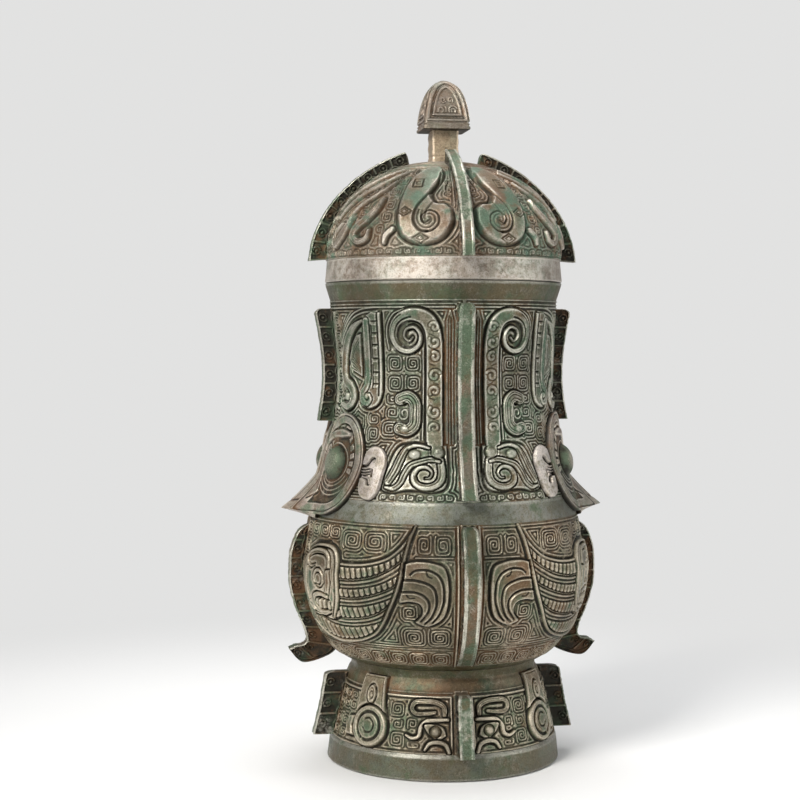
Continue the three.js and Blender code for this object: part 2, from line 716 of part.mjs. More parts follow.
// Lid: a domed shell whose spigot drops into the mouth and whose band rests on the rim
const spigotRadius = bodySkin.radius(rimZ - spigotDepth) - wall - spigotClearance;
const lidInside = [];
for (let i = domeSteps; i >= 0; i -= 2) {
  const [r, z] = domeRow(i, lidRadius - wall, domeHeight - wall);
  lidInside.push([r, domeZ + z]);
}
add('lid_shell', turned([
  [0, domeTopZ - wall],
  ...lidInside,
  [spigotRadius - wall, domeZ - 2],
  [spigotRadius - wall, lidZ - spigotDepth],
  [spigotRadius, lidZ - spigotDepth],
  [spigotRadius, lidZ],
  ...lidOutside,
  [0, domeTopZ],
]), patina);

// Knob: a square post under a four-sided cap that swells to a rounded point
const post = new THREE.BoxGeometry(knobPostWidth, knobPostWidth, knobPostHeight);
post.translate(0, 0, domeTopZ + seatGap + knobPostHeight / 2);
add('knob_post', post, 0xa08a55);
const capZ = domeTopZ + seatGap + knobPostHeight + seatGap;
const capHalf = knobCapWidth / 2;
const capProfile = [[0, capZ], [capHalf, capZ], [capHalf, capZ + knobCapFrame * 0.6],
  [capHalf - knobCapLip, capZ + knobCapFrame]];
const capSteps = 10;
for (let i = 1; i <= capSteps; i++) {
  const t = Math.sin((i / capSteps) * Math.PI / 2);
  const taper = (1 - knobTipTaper * t ** 1.5) * Math.sqrt(Math.max(0, 1 - t ** 6));
  capProfile.push([(capHalf - knobCapLip) * taper, capZ + knobCapFrame + (knobCapHeight - knobCapFrame) * t]);
}
const capPoints = capProfile.map(([h, z]) => new THREE.Vector2(h * Math.SQRT2, z));
add('knob_cap', new THREE.LatheGeometry(capPoints, 4, Math.PI / 4).rotateX(Math.PI / 2), patina);

export default parts;
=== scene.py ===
# %% [markdown]
# A lidded bronze wine vessel, dressed over its fixed frame.
# The frame's pieces give every place and size; each detailed piece here rides on a body and
# stands for the plain solids that it replaces. Lengths are worked out in millimetres and
# turned into metres when a mesh is made.

# %% Load the frame
import math
from functools import partial

import bpy
import numpy as np
from mathutils import Matrix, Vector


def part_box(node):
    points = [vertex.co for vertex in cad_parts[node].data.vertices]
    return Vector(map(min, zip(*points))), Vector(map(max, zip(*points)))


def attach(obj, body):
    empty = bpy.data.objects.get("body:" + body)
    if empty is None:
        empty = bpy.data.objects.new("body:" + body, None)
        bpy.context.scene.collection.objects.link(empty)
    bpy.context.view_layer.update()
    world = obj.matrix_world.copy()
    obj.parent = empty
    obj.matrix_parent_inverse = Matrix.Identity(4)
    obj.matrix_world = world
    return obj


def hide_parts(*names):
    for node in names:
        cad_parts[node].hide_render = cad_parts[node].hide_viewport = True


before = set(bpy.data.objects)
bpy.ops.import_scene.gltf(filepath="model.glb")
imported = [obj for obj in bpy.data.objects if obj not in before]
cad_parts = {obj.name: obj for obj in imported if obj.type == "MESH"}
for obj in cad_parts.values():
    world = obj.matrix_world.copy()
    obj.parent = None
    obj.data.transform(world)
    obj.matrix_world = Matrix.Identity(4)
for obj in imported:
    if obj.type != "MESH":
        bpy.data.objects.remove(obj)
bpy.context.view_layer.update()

MM = 0.001

# %% [markdown]
# The vessel is round, so its outside is a profile turned about Z. The heights come from the
# frame's own boxes, and the radii are those of its foot, its belly with the neck, and its lid.
# A screw modifier could turn such a profile. A small class does it here, because all ornament
# is laid on the same curve by its distance along it.

# %% Smooth curve through knots


def through(knots, count):
    p = np.array(knots, float)
    out = []
    for t in np.linspace(0, len(p) - 1, count):
        i = min(int(t), len(p) - 2)
        w = t - i
        a, b, c, d = p[max(i - 1, 0)], p[i], p[i + 1], p[min(i + 2, len(p) - 1)]
        out.append(0.5 * (2 * b + (c - a) * w + (2 * a - 5 * b + 4 * c - d) * w * w
                          + (3 * b - a - 3 * c + d) * w ** 3))
    return np.array(out)


def ease(x):
    x = np.clip(x, 0, 1)
    return x * x * (3 - 2 * x)


def stripe(x, half, soft):
    return ease((half - np.abs(x)) / soft)


def bell(x, width):
    return np.exp(-(x / width) ** 2)


print("a quarter of the way up a soft edge", ease(0.25))


# %% Profiles of foot, body and lid


def heights(node):
    low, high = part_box(node)
    return low[2] / MM, high[2] / MM


FOOT_TOP = heights("foot_ring")[1]
BASE, RIM = heights("vessel_body")
LID = RIM + 0.3
DOME = LID + 16
DOME_TOP = heights("lid_shell")[1]
WALL = 3.8
MOUTH, LIP, DOME_FOOT, CROWN = 60.1, 63.1, 62.4, 11
DOME_ROUND = 1 / 1.7
SPIGOT_GAP = 0.7

foot_curve = through([(59.5, 12.8), (52.2, 43), (49.2, 50), (50, FOOT_TOP)], 60)[1:]
foot_profile = np.vstack([[[62, 0], [60.6, 12], [59.5, 12.8]], foot_curve])
belly_t = np.linspace(0, 1, 60) ** 1.6
belly_full = (1 - (1 - belly_t) ** 2) ** (1 / 1.5)
belly_profile = np.stack([50.5 + 24.8 * belly_full, BASE + 50 * belly_t], 1)
neck_profile = through([(75.3, BASE + 50), (71.2, BASE + 76), (67.6, BASE + 87), (60.6, BASE + 112.5),
                        (56.9, BASE + 149), (MOUTH, BASE + 188.5)], 110)[1:]
body_profile = np.vstack([belly_profile, neck_profile, [[LIP, RIM]]])
dome_t = np.sin(np.linspace(0, 1, 90) * math.pi / 2)
dome_profile = np.stack([CROWN + (DOME_FOOT - CROWN) * (1 - dome_t ** 2) ** DOME_ROUND, DOME
    + (DOME_TOP - DOME) * dome_t], 1)
lid_profile = np.vstack([[[LIP, LID], [62, LID + 11.2]], dome_profile])


class Skin:
    """A turned outside: along(z) is the distance up the profile, place(a, v, h) a point h off it."""

    def __init__(self, profile):
        self.p = profile
        self.s = np.concatenate([[0], np.cumsum(np.hypot(*np.diff(profile, axis=0).T))])

    def along(self, z):
        return np.interp(z, self.p[:, 1], self.s)

    def radius(self, z):
        return np.interp(z, self.p[:, 1], self.p[:, 0])

    def at(self, v):
        r = np.interp(v, self.s, self.p[:, 0])
        z = np.interp(v, self.s, self.p[:, 1])
        dr = np.interp(v + 0.8, self.s, self.p[:, 0]) - np.interp(v - 0.8, self.s, self.p[:, 0])
        dz = np.interp(v + 0.8, self.s, self.p[:, 1]) - np.interp(v - 0.8, self.s, self.p[:, 1])
        n = np.hypot(dr, dz) + 1e-9
        return r, z, dz / n, -dr / n

    def place(self, a, v, h):
        r, z, nr, nz = self.at(v)
        rr = r + h * nr
        return np.stack([rr * np.sin(a), -rr * np.cos(a), z + h * nz + 0 * a], -1)


FOOT_ZONE = (13, 50)
BELLY_ZONE = (BASE + 3.6, BASE + 76.7)
NECK_ZONE = (BASE + 87, BASE + 188.7)
LID_ZONE = (LID + 11.6, DOME_TOP - 0.12)
FOOT_SKIN = Skin(foot_profile)
BODY_SKIN = Skin(body_profile)
LID_SKIN = Skin(lid_profile)
print("profile lengths", [round(float(s.s[-1]), 1) for s in (FOOT_SKIN, BODY_SKIN, LID_SKIN)])

# %% [markdown]
# Two mesh makers cover every piece. A tube is a grid of rows that closes round its columns,
# with a cap at each end or closed on itself. A sheet is a fine relief on a coarse back.
# Both carry values for the finish at each point. The first, for wear and painted light, is 0 in
# recesses, where dark patina and painted shade lie, about a half on the level and 1 on edges
# that hands rub, which also carry a painted highlight; "green" is mineral bloom, "warm" brown
# earth and rust, and "pale" a smooth worn face, on the lid's band partly a painted highlight.
# Modifiers could thicken and bevel a piece, but points that are placed one by one know where
# they lie, and so how worn they are and how much painted shade and highlight they take.

# %% Mesh makers
VALUES = ("ridge", "green", "warm", "pale")
SHARP_FROM = 42


def grid(ids):
    """The quads between the points of a grid."""
    return np.stack([ids[:-1, :-1], ids[:-1, 1:], ids[1:, 1:], ids[1:, :-1]], -1).reshape(-1, 4)


def closed(ids, loop=False):
    """The same grid with its first column again at the end, and its first row where it is a loop."""
    ids = np.hstack([ids, ids[:, :1]])
    return np.vstack([ids, ids[:1]]) if loop else ids


def finish_mesh(name, verts, quads, others, values):
    mesh = bpy.data.meshes.new(name)
    loops = np.concatenate([quads.ravel()] + [np.asarray(o) for o in others]).astype(np.int32)
    totals = np.concatenate([np.full(len(quads), 4), [len(o) for o in others]]).astype(np.int32)
    starts = np.concatenate([[0], np.cumsum(totals)[:-1]]).astype(np.int32)
    mesh.vertices.add(len(verts))
    mesh.vertices.foreach_set("co", (verts * MM).astype(np.float32).ravel())
    mesh.loops.add(len(loops))
    mesh.loops.foreach_set("vertex_index", loops)
    mesh.polygons.add(len(totals))
    mesh.polygons.foreach_set("loop_start", starts)
    mesh.polygons.foreach_set("loop_total", totals)
    mesh.update(calc_edges=True)
    mesh.validate()
    mesh.polygons.foreach_set("use_smooth", np.ones(len(mesh.polygons), bool))
    mesh.set_sharp_from_angle(angle=math.radians(SHARP_FROM))
    for label in VALUES:
        spread = np.clip(values.get(label, 0.5 if label == "ridge" else 0.0), 0, 1)
        layer = mesh.attributes.new(label, "FLOAT", "POINT")
        layer.data.foreach_set("value", np.broadcast_to(spread, len(verts)).astype(np.float32))
    piece = bpy.data.objects.new(name, mesh)
    bpy.context.scene.collection.objects.link(piece)
    return piece


def tube(name, points, loop=False, **values):
    rows, cols = points.shape[:2]
    ids = np.arange(rows * cols).reshape(rows, cols)
    quads = grid(closed(ids, loop))
    caps = [] if loop else [ids[0][::-1], ids[-1]]
    verts = points.reshape(-1, 3)
    a, b, c, d = (verts[quads[:, k]] for k in range(4))
    volume = np.einsum("ij,ij->", a, np.cross(b, c)) + np.einsum("ij,ij->", a, np.cross(c, d))
    if volume < 0:
        quads = quads[:, ::-1]
        caps = [cap[::-1] for cap in caps]
    spread = {k: np.broadcast_to(x, (rows, cols)).reshape(-1) for k, x in values.items()}
    return finish_mesh(name, verts, quads, caps, spread)


BACK = 6


def sheet(name, front, back, **values):
    """front is a fine grid of points, back the same patch with every BACK-th row and column."""
    rows, cols = front.shape[:2]
    brows, bcols = back.shape[:2]
    f = np.arange(rows * cols).reshape(rows, cols)
    b = np.arange(brows * bcols).reshape(brows, bcols) + rows * cols
    quads = np.vstack([grid(f), grid(b)[:, [0, 3, 2, 1]]])
    sides = []
    for edge, coarse, flip in ((f[0], b[0], True), (f[-1], b[-1], False),
                               (f[:, 0], b[:, 0], False), (f[:, -1], b[:, -1], True)):
        for k in range(len(coarse) - 1):
            part = list(edge[k * BACK:(k + 1) * BACK + 1]) + [coarse[k + 1], coarse[k]]
            sides.append(part[::-1] if flip else part)
    verts = np.vstack([front.reshape(-1, 3), back.reshape(-1, 3)])
    shown = quads[:(rows - 1) * (cols - 1)]
    a, bb, c = (verts[shown[:, k]] for k in range(3))
    if np.einsum("ij,ij->", np.cross(bb - a, c - a), a * [1, 1, 0]) < 0:
        quads = quads[:, ::-1]
        sides = [s[::-1] for s in sides]
    fill = np.zeros(brows * bcols)
    spread = {k: np.concatenate([x.ravel(), fill]) for k, x in values.items()}
    return finish_mesh(name, verts, quads, sides, spread)


def blur(h, n):
    for _ in range(2):
        for axis in (0, 1):
            pad = [(0, 0), (0, 0)]
            pad[axis] = (n + 1, n)
            total = np.cumsum(np.pad(h, pad, mode="edge"), axis=axis)
            size = h.shape[axis]
            high = np.take(total, np.arange(2 * n + 1, 2 * n + 1 + size), axis=axis)
            low = np.take(total, np.arange(0, size), axis=axis)
            h = (high - low) / (2 * n + 1)
    return h


GAIN = 0.74


def wear(h, step, gain=GAIN):
    """Where a height field stands above or below its surroundings, about a half on the level; high where edges are
    rubbed and a highlight is painted, low where dark patina and painted shade fill recesses.
    """
    near = h - blur(h, max(1, round(0.75 / step)))
    wide = h - blur(h, max(2, round(3.0 / step)))
    return np.clip(0.47 + gain * near + 0.09 * wide, 0, 1)


print("mesh makers ready")

# %% [markdown]
# The cast ornament is drawn as a height field on an unrolled quarter of the vessel, from one
# flange's middle to the next: u runs round the vessel and v up it, in millimetres. Raised
# forms clear a shallow moat round themselves, as the casting does, and lines are cut or laid
# on top. All four quarters share one drawing, mirrored from one to the next. It could be
# sculpted by hand; strokes with a width and a height are easier to set right one by one.

# %% Distances from lines and outlines


def reach_of(pts, width, u, v):
    """How far inside a line each point lies; its widths are spread evenly along it."""
    pts = np.asarray(pts, float)
    half = np.interp(np.linspace(0, 1, len(pts)), np.linspace(0, 1, np.size(width)), np.ravel(width)) / 2
    best = np.full(np.broadcast(u, v).shape, -99.0)
    for p, q, wp, wq in zip(pts[:-1], pts[1:], half[:-1], half[1:]):
        d = q - p
        t = np.clip(((u - p[0]) * d[0] + (v - p[1]) * d[1]) / max(float(d @ d), 1e-9), 0, 1)
        gap = np.hypot(u - p[0] - t * d[0], v - p[1] - t * d[1])
        best = np.maximum(best, wp + (wq - wp) * t - gap)
    return best


def depth_in(pts, u, v):
    """How far inside a closed outline each point lies, negative outside."""
    ring = np.vstack([pts, pts[:1]])
    gap = reach_of(ring, 0.0, u, v)
    within = np.zeros(gap.shape, bool)
    for p, q in zip(ring[:-1], ring[1:]):
        if p[1] != q[1]:
            crosses = (p[1] > v) != (q[1] > v)
            within ^= crosses & (u < (q[0] - p[0]) * (v - p[1]) / (q[1] - p[1]) + p[0])
    return np.where(within, -gap, gap)


def beside(path, off):
    """A line that keeps a distance to the left of another."""
    d = np.gradient(path, axis=0)
    return path + off * np.stack([-d[:, 1], d[:, 0]], 1) / (np.hypot(*d.T)[:, None] + 1e-9)


def coil(cu, cv, half_u, half_v, turns=3.0, square=4.0, start=0.0, way=1, core=0.1):
    """A spiral from the outside in; square 2 is round and 5 nearly a box."""
    steps = int(turns * 26)
    t = np.linspace(0, 1, steps)
    angle = start + way * t * turns * 2 * math.pi
    shrink = 1 - (1 - core) * t
    c, s = np.cos(angle), np.sin(angle)
    power = 2 / (square + (2.2 - square) * t)
    return np.stack([cu + half_u * shrink * np.sign(c) * np.abs(c) ** power,
                     cv + half_v * shrink * np.sign(s) * np.abs(s) ** power], 1)


def arc(cu, cv, ru, rv, a0, a1, n=24):
    t = np.radians(np.linspace(a0, a1, n))
    return np.stack([cu + ru * np.cos(t), cv + rv * np.sin(t)], 1)


print("a coil of three turns has", len(coil(0, 0, 5, 5)), "points")

# %% The panel that a relief is drawn on
MARGIN = 1.5
GROUND_PITCH, GROUND_HEIGHT = 1.55, 0.55


class Panel:
    def __init__(self, skin, z0, z1, around, step):
        self.skin = skin
        self.v0 = skin.along(z0)
        self.tall = skin.along(z1) - self.v0
        self.wide = around * math.pi / 2
        self.step = step
        cols = int(round(self.wide / step / BACK)) * BACK + 1
        rows = int(round(self.tall / step / BACK)) * BACK + 1
        self.us = np.linspace(0, self.wide, cols)
        self.vs = np.linspace(0, self.tall, rows)
        self.h = np.zeros((rows, cols))
        self.taken = np.zeros((rows, cols), bool)
        self.tints = {kind: np.zeros((rows, cols)) for kind in VALUES[1:]}

    def window(self, pts, pad):
        lo, hi = pts.min(0) - pad, pts.max(0) + pad
        i0, i1 = np.searchsorted(self.us, [lo[0], hi[0]])
        j0, j1 = np.searchsorted(self.vs, [lo[1], hi[1]])
        cut = (slice(j0, max(j1, j0 + 1)), slice(i0, max(i1, i0 + 1)))
        return cut, self.us[cut[1]][None, :], self.vs[cut[0]][:, None]

    def line(self, pts, width):
        pts = np.asarray(pts, float)
        cut, u, v = self.window(pts, MARGIN + np.max(width) / 2)
        return cut, reach_of(pts, width, u, v)

    def area(self, pts, pad=3.0):
        pts = np.asarray(pts, float)
        cut, u, v = self.window(pts, pad)
        return cut, depth_in(pts, u, v)

    def lay(self, where, height, soft=0.8, moat=0.8, deep=0.4, lines=(), line_width=0.8, line_deep=0.6,
            crown=0.0):
        """Raises a form with a moat round it, and engraves lines at those distances from its edge."""
        cut, reach = where
        h = self.h[cut]
        if moat:
            h = np.where(reach > -moat, np.minimum(h, -deep * ease((reach + moat) / 0.4)), h)
        top = height * ease(reach / soft) + crown * np.sqrt(np.clip(reach, 0, 6) / 6)
        for at in lines:
            top = top - line_deep * (1 - ease(np.abs(reach - at) / (line_width / 2))) * (reach > 0)
        floor = np.minimum(h, -deep) if moat else h
        self.h[cut] = np.where(reach > 0, np.maximum(top, floor), h)
        self.taken[cut] |= reach > -moat - 0.2

    def band(self, pts, width, *how, **more):
        self.lay(self.line(pts, width), *how, **more)

    def slab(self, poly, *how, **more):
        self.lay(self.area(poly), *how, **more)

    def bead(self, pts, width=1.0, height=0.6, soft=0.5):
        """A raised line on top of what is there."""
        cut, reach = self.line(pts, width)
        self.h[cut] += height * ease((reach + soft / 2) / soft)

    def cut(self, pts, width=0.8, depth=0.7, soft=0.45):
        cut, reach = self.line(pts, width)
        self.h[cut] -= depth * ease((reach + soft / 2) / soft)

    def fine(self, pts, width=0.72, height=0.66, soft=0.4):
        """A thin raised line of the ground."""
        cut, reach = self.line(pts, width)
        self.h[cut] = np.maximum(self.h[cut], height * ease((reach + soft / 2) / soft))
        self.taken[cut] |= reach > -0.55

    def dome(self, u, v, radius, height, flat=1.0):
        cut, uu, vv = self.window(np.array([[u, v]]), radius + 0.5)
        d = np.hypot(uu - u, (vv - v) / flat) / radius
        cap = height * np.sqrt(np.clip(1 - d * d, 0, 1))
        self.h[cut] = np.where(d < 1, np.maximum(self.h[cut], cap), self.h[cut])
        self.taken[cut] |= d < 1.1

    def tint(self, kind, pts, amount, fade=4.0):
        cut, reach = self.area(pts, fade + 1)
        layer = self.tints[kind]
        layer[cut] = np.maximum(layer[cut], amount * ease((reach + fade) / (2 * fade)))

    def fill(self):
        """Follows every form with nested thin lines, so that no ground is left bare."""
        free = ~self.taken
        far = np.zeros(self.h.shape)
        for k in range(int(9 / self.step)):
            far += free
            pad = np.pad(free, 1, constant_values=False)
            near = pad[:-2, 1:-1] & pad[2:, 1:-1] & pad[1:-1, :-2] & pad[1:-1, 2:]
            if k % 2:
                near &= pad[:-2, :-2] & pad[2:, 2:] & pad[2:, :-2] & pad[:-2, 2:]
            free = free & near
        far = blur(far, 1) * self.step
        crest = ease(0.5 - 0.75 * np.cos(2 * math.pi * far / GROUND_PITCH))
        self.h = np.where(self.taken, self.h, np.maximum(self.h, GROUND_HEIGHT * crest * ease(far / 0.5)))


FINE_PITCH = 1.5
CURL_TURNS = 0.95


def meander(panel, cells):
    """Squared spirals, each filling a box from (u0, v0) to (u1, v1)."""
    for k, (u0, u1, v0, v1) in enumerate(cells):
        half_u, half_v = (u1 - u0) / 2 - 0.55, (v1 - v0) / 2 - 0.55
        turns = max(1.4, min(half_u, half_v) / FINE_PITCH)
        start = (k % 4) * math.pi / 2 + math.pi / 4
        way = 1 if k % 2 else -1
        panel.fine(coil((u0 + u1) / 2, (v0 + v1) / 2, half_u, half_v, turns, 5, start, way))


def rows_of(u0, u1, v0, v1, across, up):
    """Boxes that fill a block, so many across and so many up."""
    us, vs = np.linspace(u0, u1, across + 1), np.linspace(v0, v1, up + 1)
    return [(us[i], us[i + 1] - 0.3, vs[j], vs[j + 1] - 0.3) for j in range(up) for i in range(across)]


def scroll(panel, u, v, r, way, start):
    """A raised curl in its own soft groove."""
    path = coil(u, v, r, r, CURL_TURNS, 2, start, way, 0.3)
    panel.cut(path, 2.8, 0.45, 1.0)
    panel.bead(path, 1.6, 0.65, 0.9)


def report(label, panel):
    low, high = round(float(panel.h.min()), 2), round(float(panel.h.max()), 2)
    print(label, "relief", panel.h.shape, "from", low, "to", high)


print("drawing tools ready")

# %% [markdown]
# Neck: beside each front flange a tall band climbs and curls into a spiral. Between it and
# the eye lie squared spirals, a hooked cell, a barred plateau whose band curls round a boss,
# and a broad arch that curls above the eye. A small beast with a trunk crouches below. The
# real ones were cast from carved mould pieces, so each form is an outline raised from a ground.

# %% Neck ornament
neck = Panel(BODY_SKIN, *NECK_ZONE, 60, 0.33)


def draw_neck(p):
    meander(p, rows_of(21.8, 42, 55.6, 75.6, 2, 2) + [(33.6, 41.8, 49.4, 55.2), (34, 41.8, 42.4, 48.8),
        (33.4, 44.6, 32.4, 41.8), (45.2, 52.6, 30.6, 38.4), (45.2, 52.6, 39, 45)])
    meander(p, rows_of(5.6, 40.8, 0.6, 4.6, 8, 1))
    meander(p, rows_of(78, 87, 63, 96, 1, 4) + [(78, 87, 47, 54), (78, 87, 54.6, 62)])
    for u in (5.7, 7.2, 8.7):
        p.fine([(u, 30), (u, 92), (7.1 + (u - 7.1) * 0.1, 97)], 0.7, 0.6)
        p.fine([(93.4 - u, 50), (93.4 - u, 97)], 0.7, 0.6)
    p.fine([(5, 99), (92, 99)], 0.9, 0.8)
    p.fine([(21.1, 32), (21.1, 78)], 0.7, 0.7)

    # the tall band and its spiral
    tall = through([(14.8, 25.5), (15.2, 46), (15.2, 64), (15.2, 80), (16.6, 89), (21, 94.2), (28.5, 95.2),
        (35, 91.5), (37.2, 84.5), (34.2, 78.6), (28.5, 76.8), (23.6, 79.6), (22.4, 84.8), (25.4, 88.8),
        (29.8, 87.8), (31, 84.2), (28.6, 81.8), (26.6, 83.6)], 170)
    p.band(tall, [9, 9, 9, 9, 8.6, 7.8, 6.6, 5.6, 4.8, 4, 3.3, 2.8, 2.4, 2, 1.7, 1.5, 1.4, 1.2], 1.7, 0.8, 0.9,
        0.5, crown=0.15)
    p.cut(beside(tall, -1.3)[58:150], 0.8, 0.8)
    p.cut(beside(tall, 1.5)[64:112], 0.7, 0.6)
    p.fine(through([(31, 98), (37, 95.4), (40.4, 90), (41, 84), (40, 77.6)], 40), 0.8, 0.8)
    for v, r, way, start in (
            (89, 2.4, 1, 0.4), (81.4, 3, -1, 0.6), (74, 2.4, 1, 1.2), (64.4, 3, -1, 2.6), (56.6, 2.7, 1, -0.6),
            (46, 3.1, -1, 0.8), (38, 2.6, 1, -0.4)):
        scroll(p, 15, v, r, way, start)
        p.cut([(14 + way, v - 4.6), (16.5 + way, v - 3.6)], 0.6, 0.4)

    # the hooked cell beside the spirals
    hook = through([(33.6, 52.4), (29, 53.6), (25.6, 50.5), (25.2, 45), (25.6, 39.6), (29, 36.8), (33.4, 37.6)],
        80)
    p.band(hook, 6.4, 1.5, 0.6, 0.8, 0.5, lines=(1.1, 2.3), line_width=0.7)
    p.fine(coil(31.2, 45.2, 3, 3.6, 1.2, 2, 0.6, -1, 0.3), 0.8, 0.7)
    p.dome(30.6, 37.2, 3.2, 2.3, 0.75)
    p.cut([(31, 50), (31.1, 50.1)], 2.2, 1.2)

    # the barred plateau that hooks round a boss
    p.cut(through([(42.1, 97), (42.4, 75), (42.6, 55), (45.2, 48), (51.6, 45.2), (58.6, 46.6), (61.4, 52)], 80),
        0.8, 0.7)
    hooked = through([(44, 56), (46.2, 50), (52, 47.2), (58.2, 48.6), (60.2, 53.4), (58.6, 58), (56.6, 60.4)], 24)
    plateau = [(44, 96.5), (44, 60), *hooked, (56.6, 88), (54.6, 94.6), (50, 97)]
    p.slab(plateau, 1.5, 0.6, 0.7, 0.5)
    p.cut([(46.2, 54), (46.2, 96)], 0.8, 0.9)
    for low, high in ((73.6, 90), (57.6, 69.6)):
        p.cut([(50.2, low), (50.2, high)], 0.8, 0.9)
    for v in (92, 86, 80, 73, 66, 60):
        p.cut([(46.2, v), (50.2, v)], 0.7, 0.8)
        p.bead([(47, v - 1.6), (49.6, v - 1.6)], 0.8, 0.35)
    band = through([(53.4, 92), (53.4, 78), (53.4, 64), (54.6, 58.6), (57.2, 55.4), (56.8, 51.4), (53.8, 49.8),
        (51.4, 52), (52.6, 54.6)], 100)
    p.band(band, [4.6, 4.6, 4.4, 4.2, 4.4, 4.2, 3.4, 2.6, 1.8], 1.9, 0.7, 0.3, 0.4)
    p.dome(54.2, 53.6, 2, 2.3)
    p.tint("green", [(51, 48), (59.6, 48), (56, 94), (51.2, 94)], 0.6, 2)

    # the arch over the eye, ending in a lobe, with a hatched leaf and lines round it
    for off in (0, 2):
        p.fine(through([(46, 99 - off), (56, 98.2 - off), (65, 95 - off), (73, 88 - off), (77.4, 80)], 60), 0.8,
            0.9)
    arch = through([(57.6, 92), (64, 88.6), (70, 82), (73.6, 74), (74.8, 66), (73, 61), (68.4, 58.6),
        (65.2, 54.4), (66.4, 50), (71, 47.6), (76, 49)], 100)
    p.band(arch, [2, 4.4, 5.6, 6.2, 6.4, 6, 5.6, 5.2, 4.8, 4, 3], 1.9, 0.9, 0.9, 0.6, lines=(1.1,),
        line_width=0.6, line_deep=0.5)
    p.dome(71.6, 53.2, 2.1, 1.8)
    leaf = [(58.6, 85.6), (58.6, 63.4), (66.6, 66.4), (69.4, 72.6), (66, 80.4), (62, 85)]
    p.slab(leaf, 1.1, 0.5, 0.7, 0.5)
    for k in range(6):
        p.cut([(59.4, 63.6 + 0.9 * k), (63, 65.2 + 1.2 * k), (67 - 0.2 * k, 66.4 + 1.5 * k)], 0.6, 0.5)
    for gap in (0, 1.6):
        p.cut(through([(59.8, 83 - gap), (63.4, 79.4 - gap), (66.4, 75 - gap)], 20), 0.6, 0.4)
    p.band(through([(82, 46.4), (86, 47.6), (88, 46)], 12), [2, 2.6, 1.4], 1.2, 0.5, 0.5)

    # the crouching beast: raised bands for its spiral body, its hooded eye and its trunk
    beast = through([(8.6, 29.4), (8.2, 18), (8.6, 10), (11, 6.4), (17, 5.2), (23, 6.2), (28, 6), (34, 4.8),
        (39.4, 5.8), (39.8, 10), (37.4, 20), (33.4, 28), (26, 30), (16, 29.8), (8.6, 29.4)], 90)
    p.slab(beast[:-1], 1.1, 0.8, 0.8, 0.35)
    p.band([(14.8, 33), (14.2, 22)], [8.8, 6.5], 1.7, 0.6, 0, 0.3, crown=0.15)
    body = through([(12, 21.6), (11.2, 16), (11.8, 11.4), (15, 8.4), (19.6, 7.8), (23.6, 10), (24.6, 14),
        (22.4, 17.4), (18.6, 18), (16, 15.6), (16.8, 12.8), (19, 12.4)], 120)
    p.band(body, [4.4, 4.6, 4.6, 4.4, 4.2, 4, 3.6, 3.2, 2.8, 2.2, 1.8, 1.4], 1.5, 1.1, 0.2, 0.3, crown=0.35)
    p.cut(beside(body, 0.8)[4:64], 0.7, 0.5)
    trail = through([(12.6, 21), (16.6, 22), (21.6, 20.8), (26.4, 18.8), (29, 14.6), (30.8, 9.8), (34, 7),
        (38, 7.4)], 70)
    p.band(trail, [2.6, 3.4, 3.6, 3.8, 3.8, 3.6, 3.2, 2.2], 1.4, 1, 0.2, 0.3, crown=0.25)
    p.cut(trail[6:60], 0.7, 0.5)
    trunk = through([(17.6, 27.8), (23, 29), (28.6, 27.6), (31.6, 22.4), (34, 16), (37, 10)], 60)
    p.band(trunk, [2.4, 2.6, 3.6, 4.8, 5, 4.2], 1.5, 1, 0.2, 0.3, crown=0.2)
    p.cut(beside(trunk, 0.9)[18:], 0.7, 0.6)
    p.cut(beside(trunk, -0.8)[24:], 0.7, 0.6)
    p.dome(24.6, 24.4, 3.3, 3, 0.8)
    p.dome(13.2, 25.6, 3.2, 2.6)
    p.cut(arc(13.2, 25.6, 3.5, 3.5, 120, 380), 0.7, 0.5)

    p.tint("warm", [(4, 28), (11, 28), (11, 100), (4, 100)], 0.75, 2)
    p.fill()


draw_neck(neck)
report("neck", neck)

# %% [markdown]
# Belly: a folded wing. Four feather rows, each of fine ridges and rounded barbs, hang between
# its front edge and its shoulder, where a band goes round two curled lobes. Nested crescents
# fill the space between it and the flange, and squared spirals the rest. The barbs follow the
# rows by calculation, because each one drawn alone would look stiff.

# %% Belly ornament
belly = Panel(BODY_SKIN, *BELLY_ZONE, 72, 0.32)


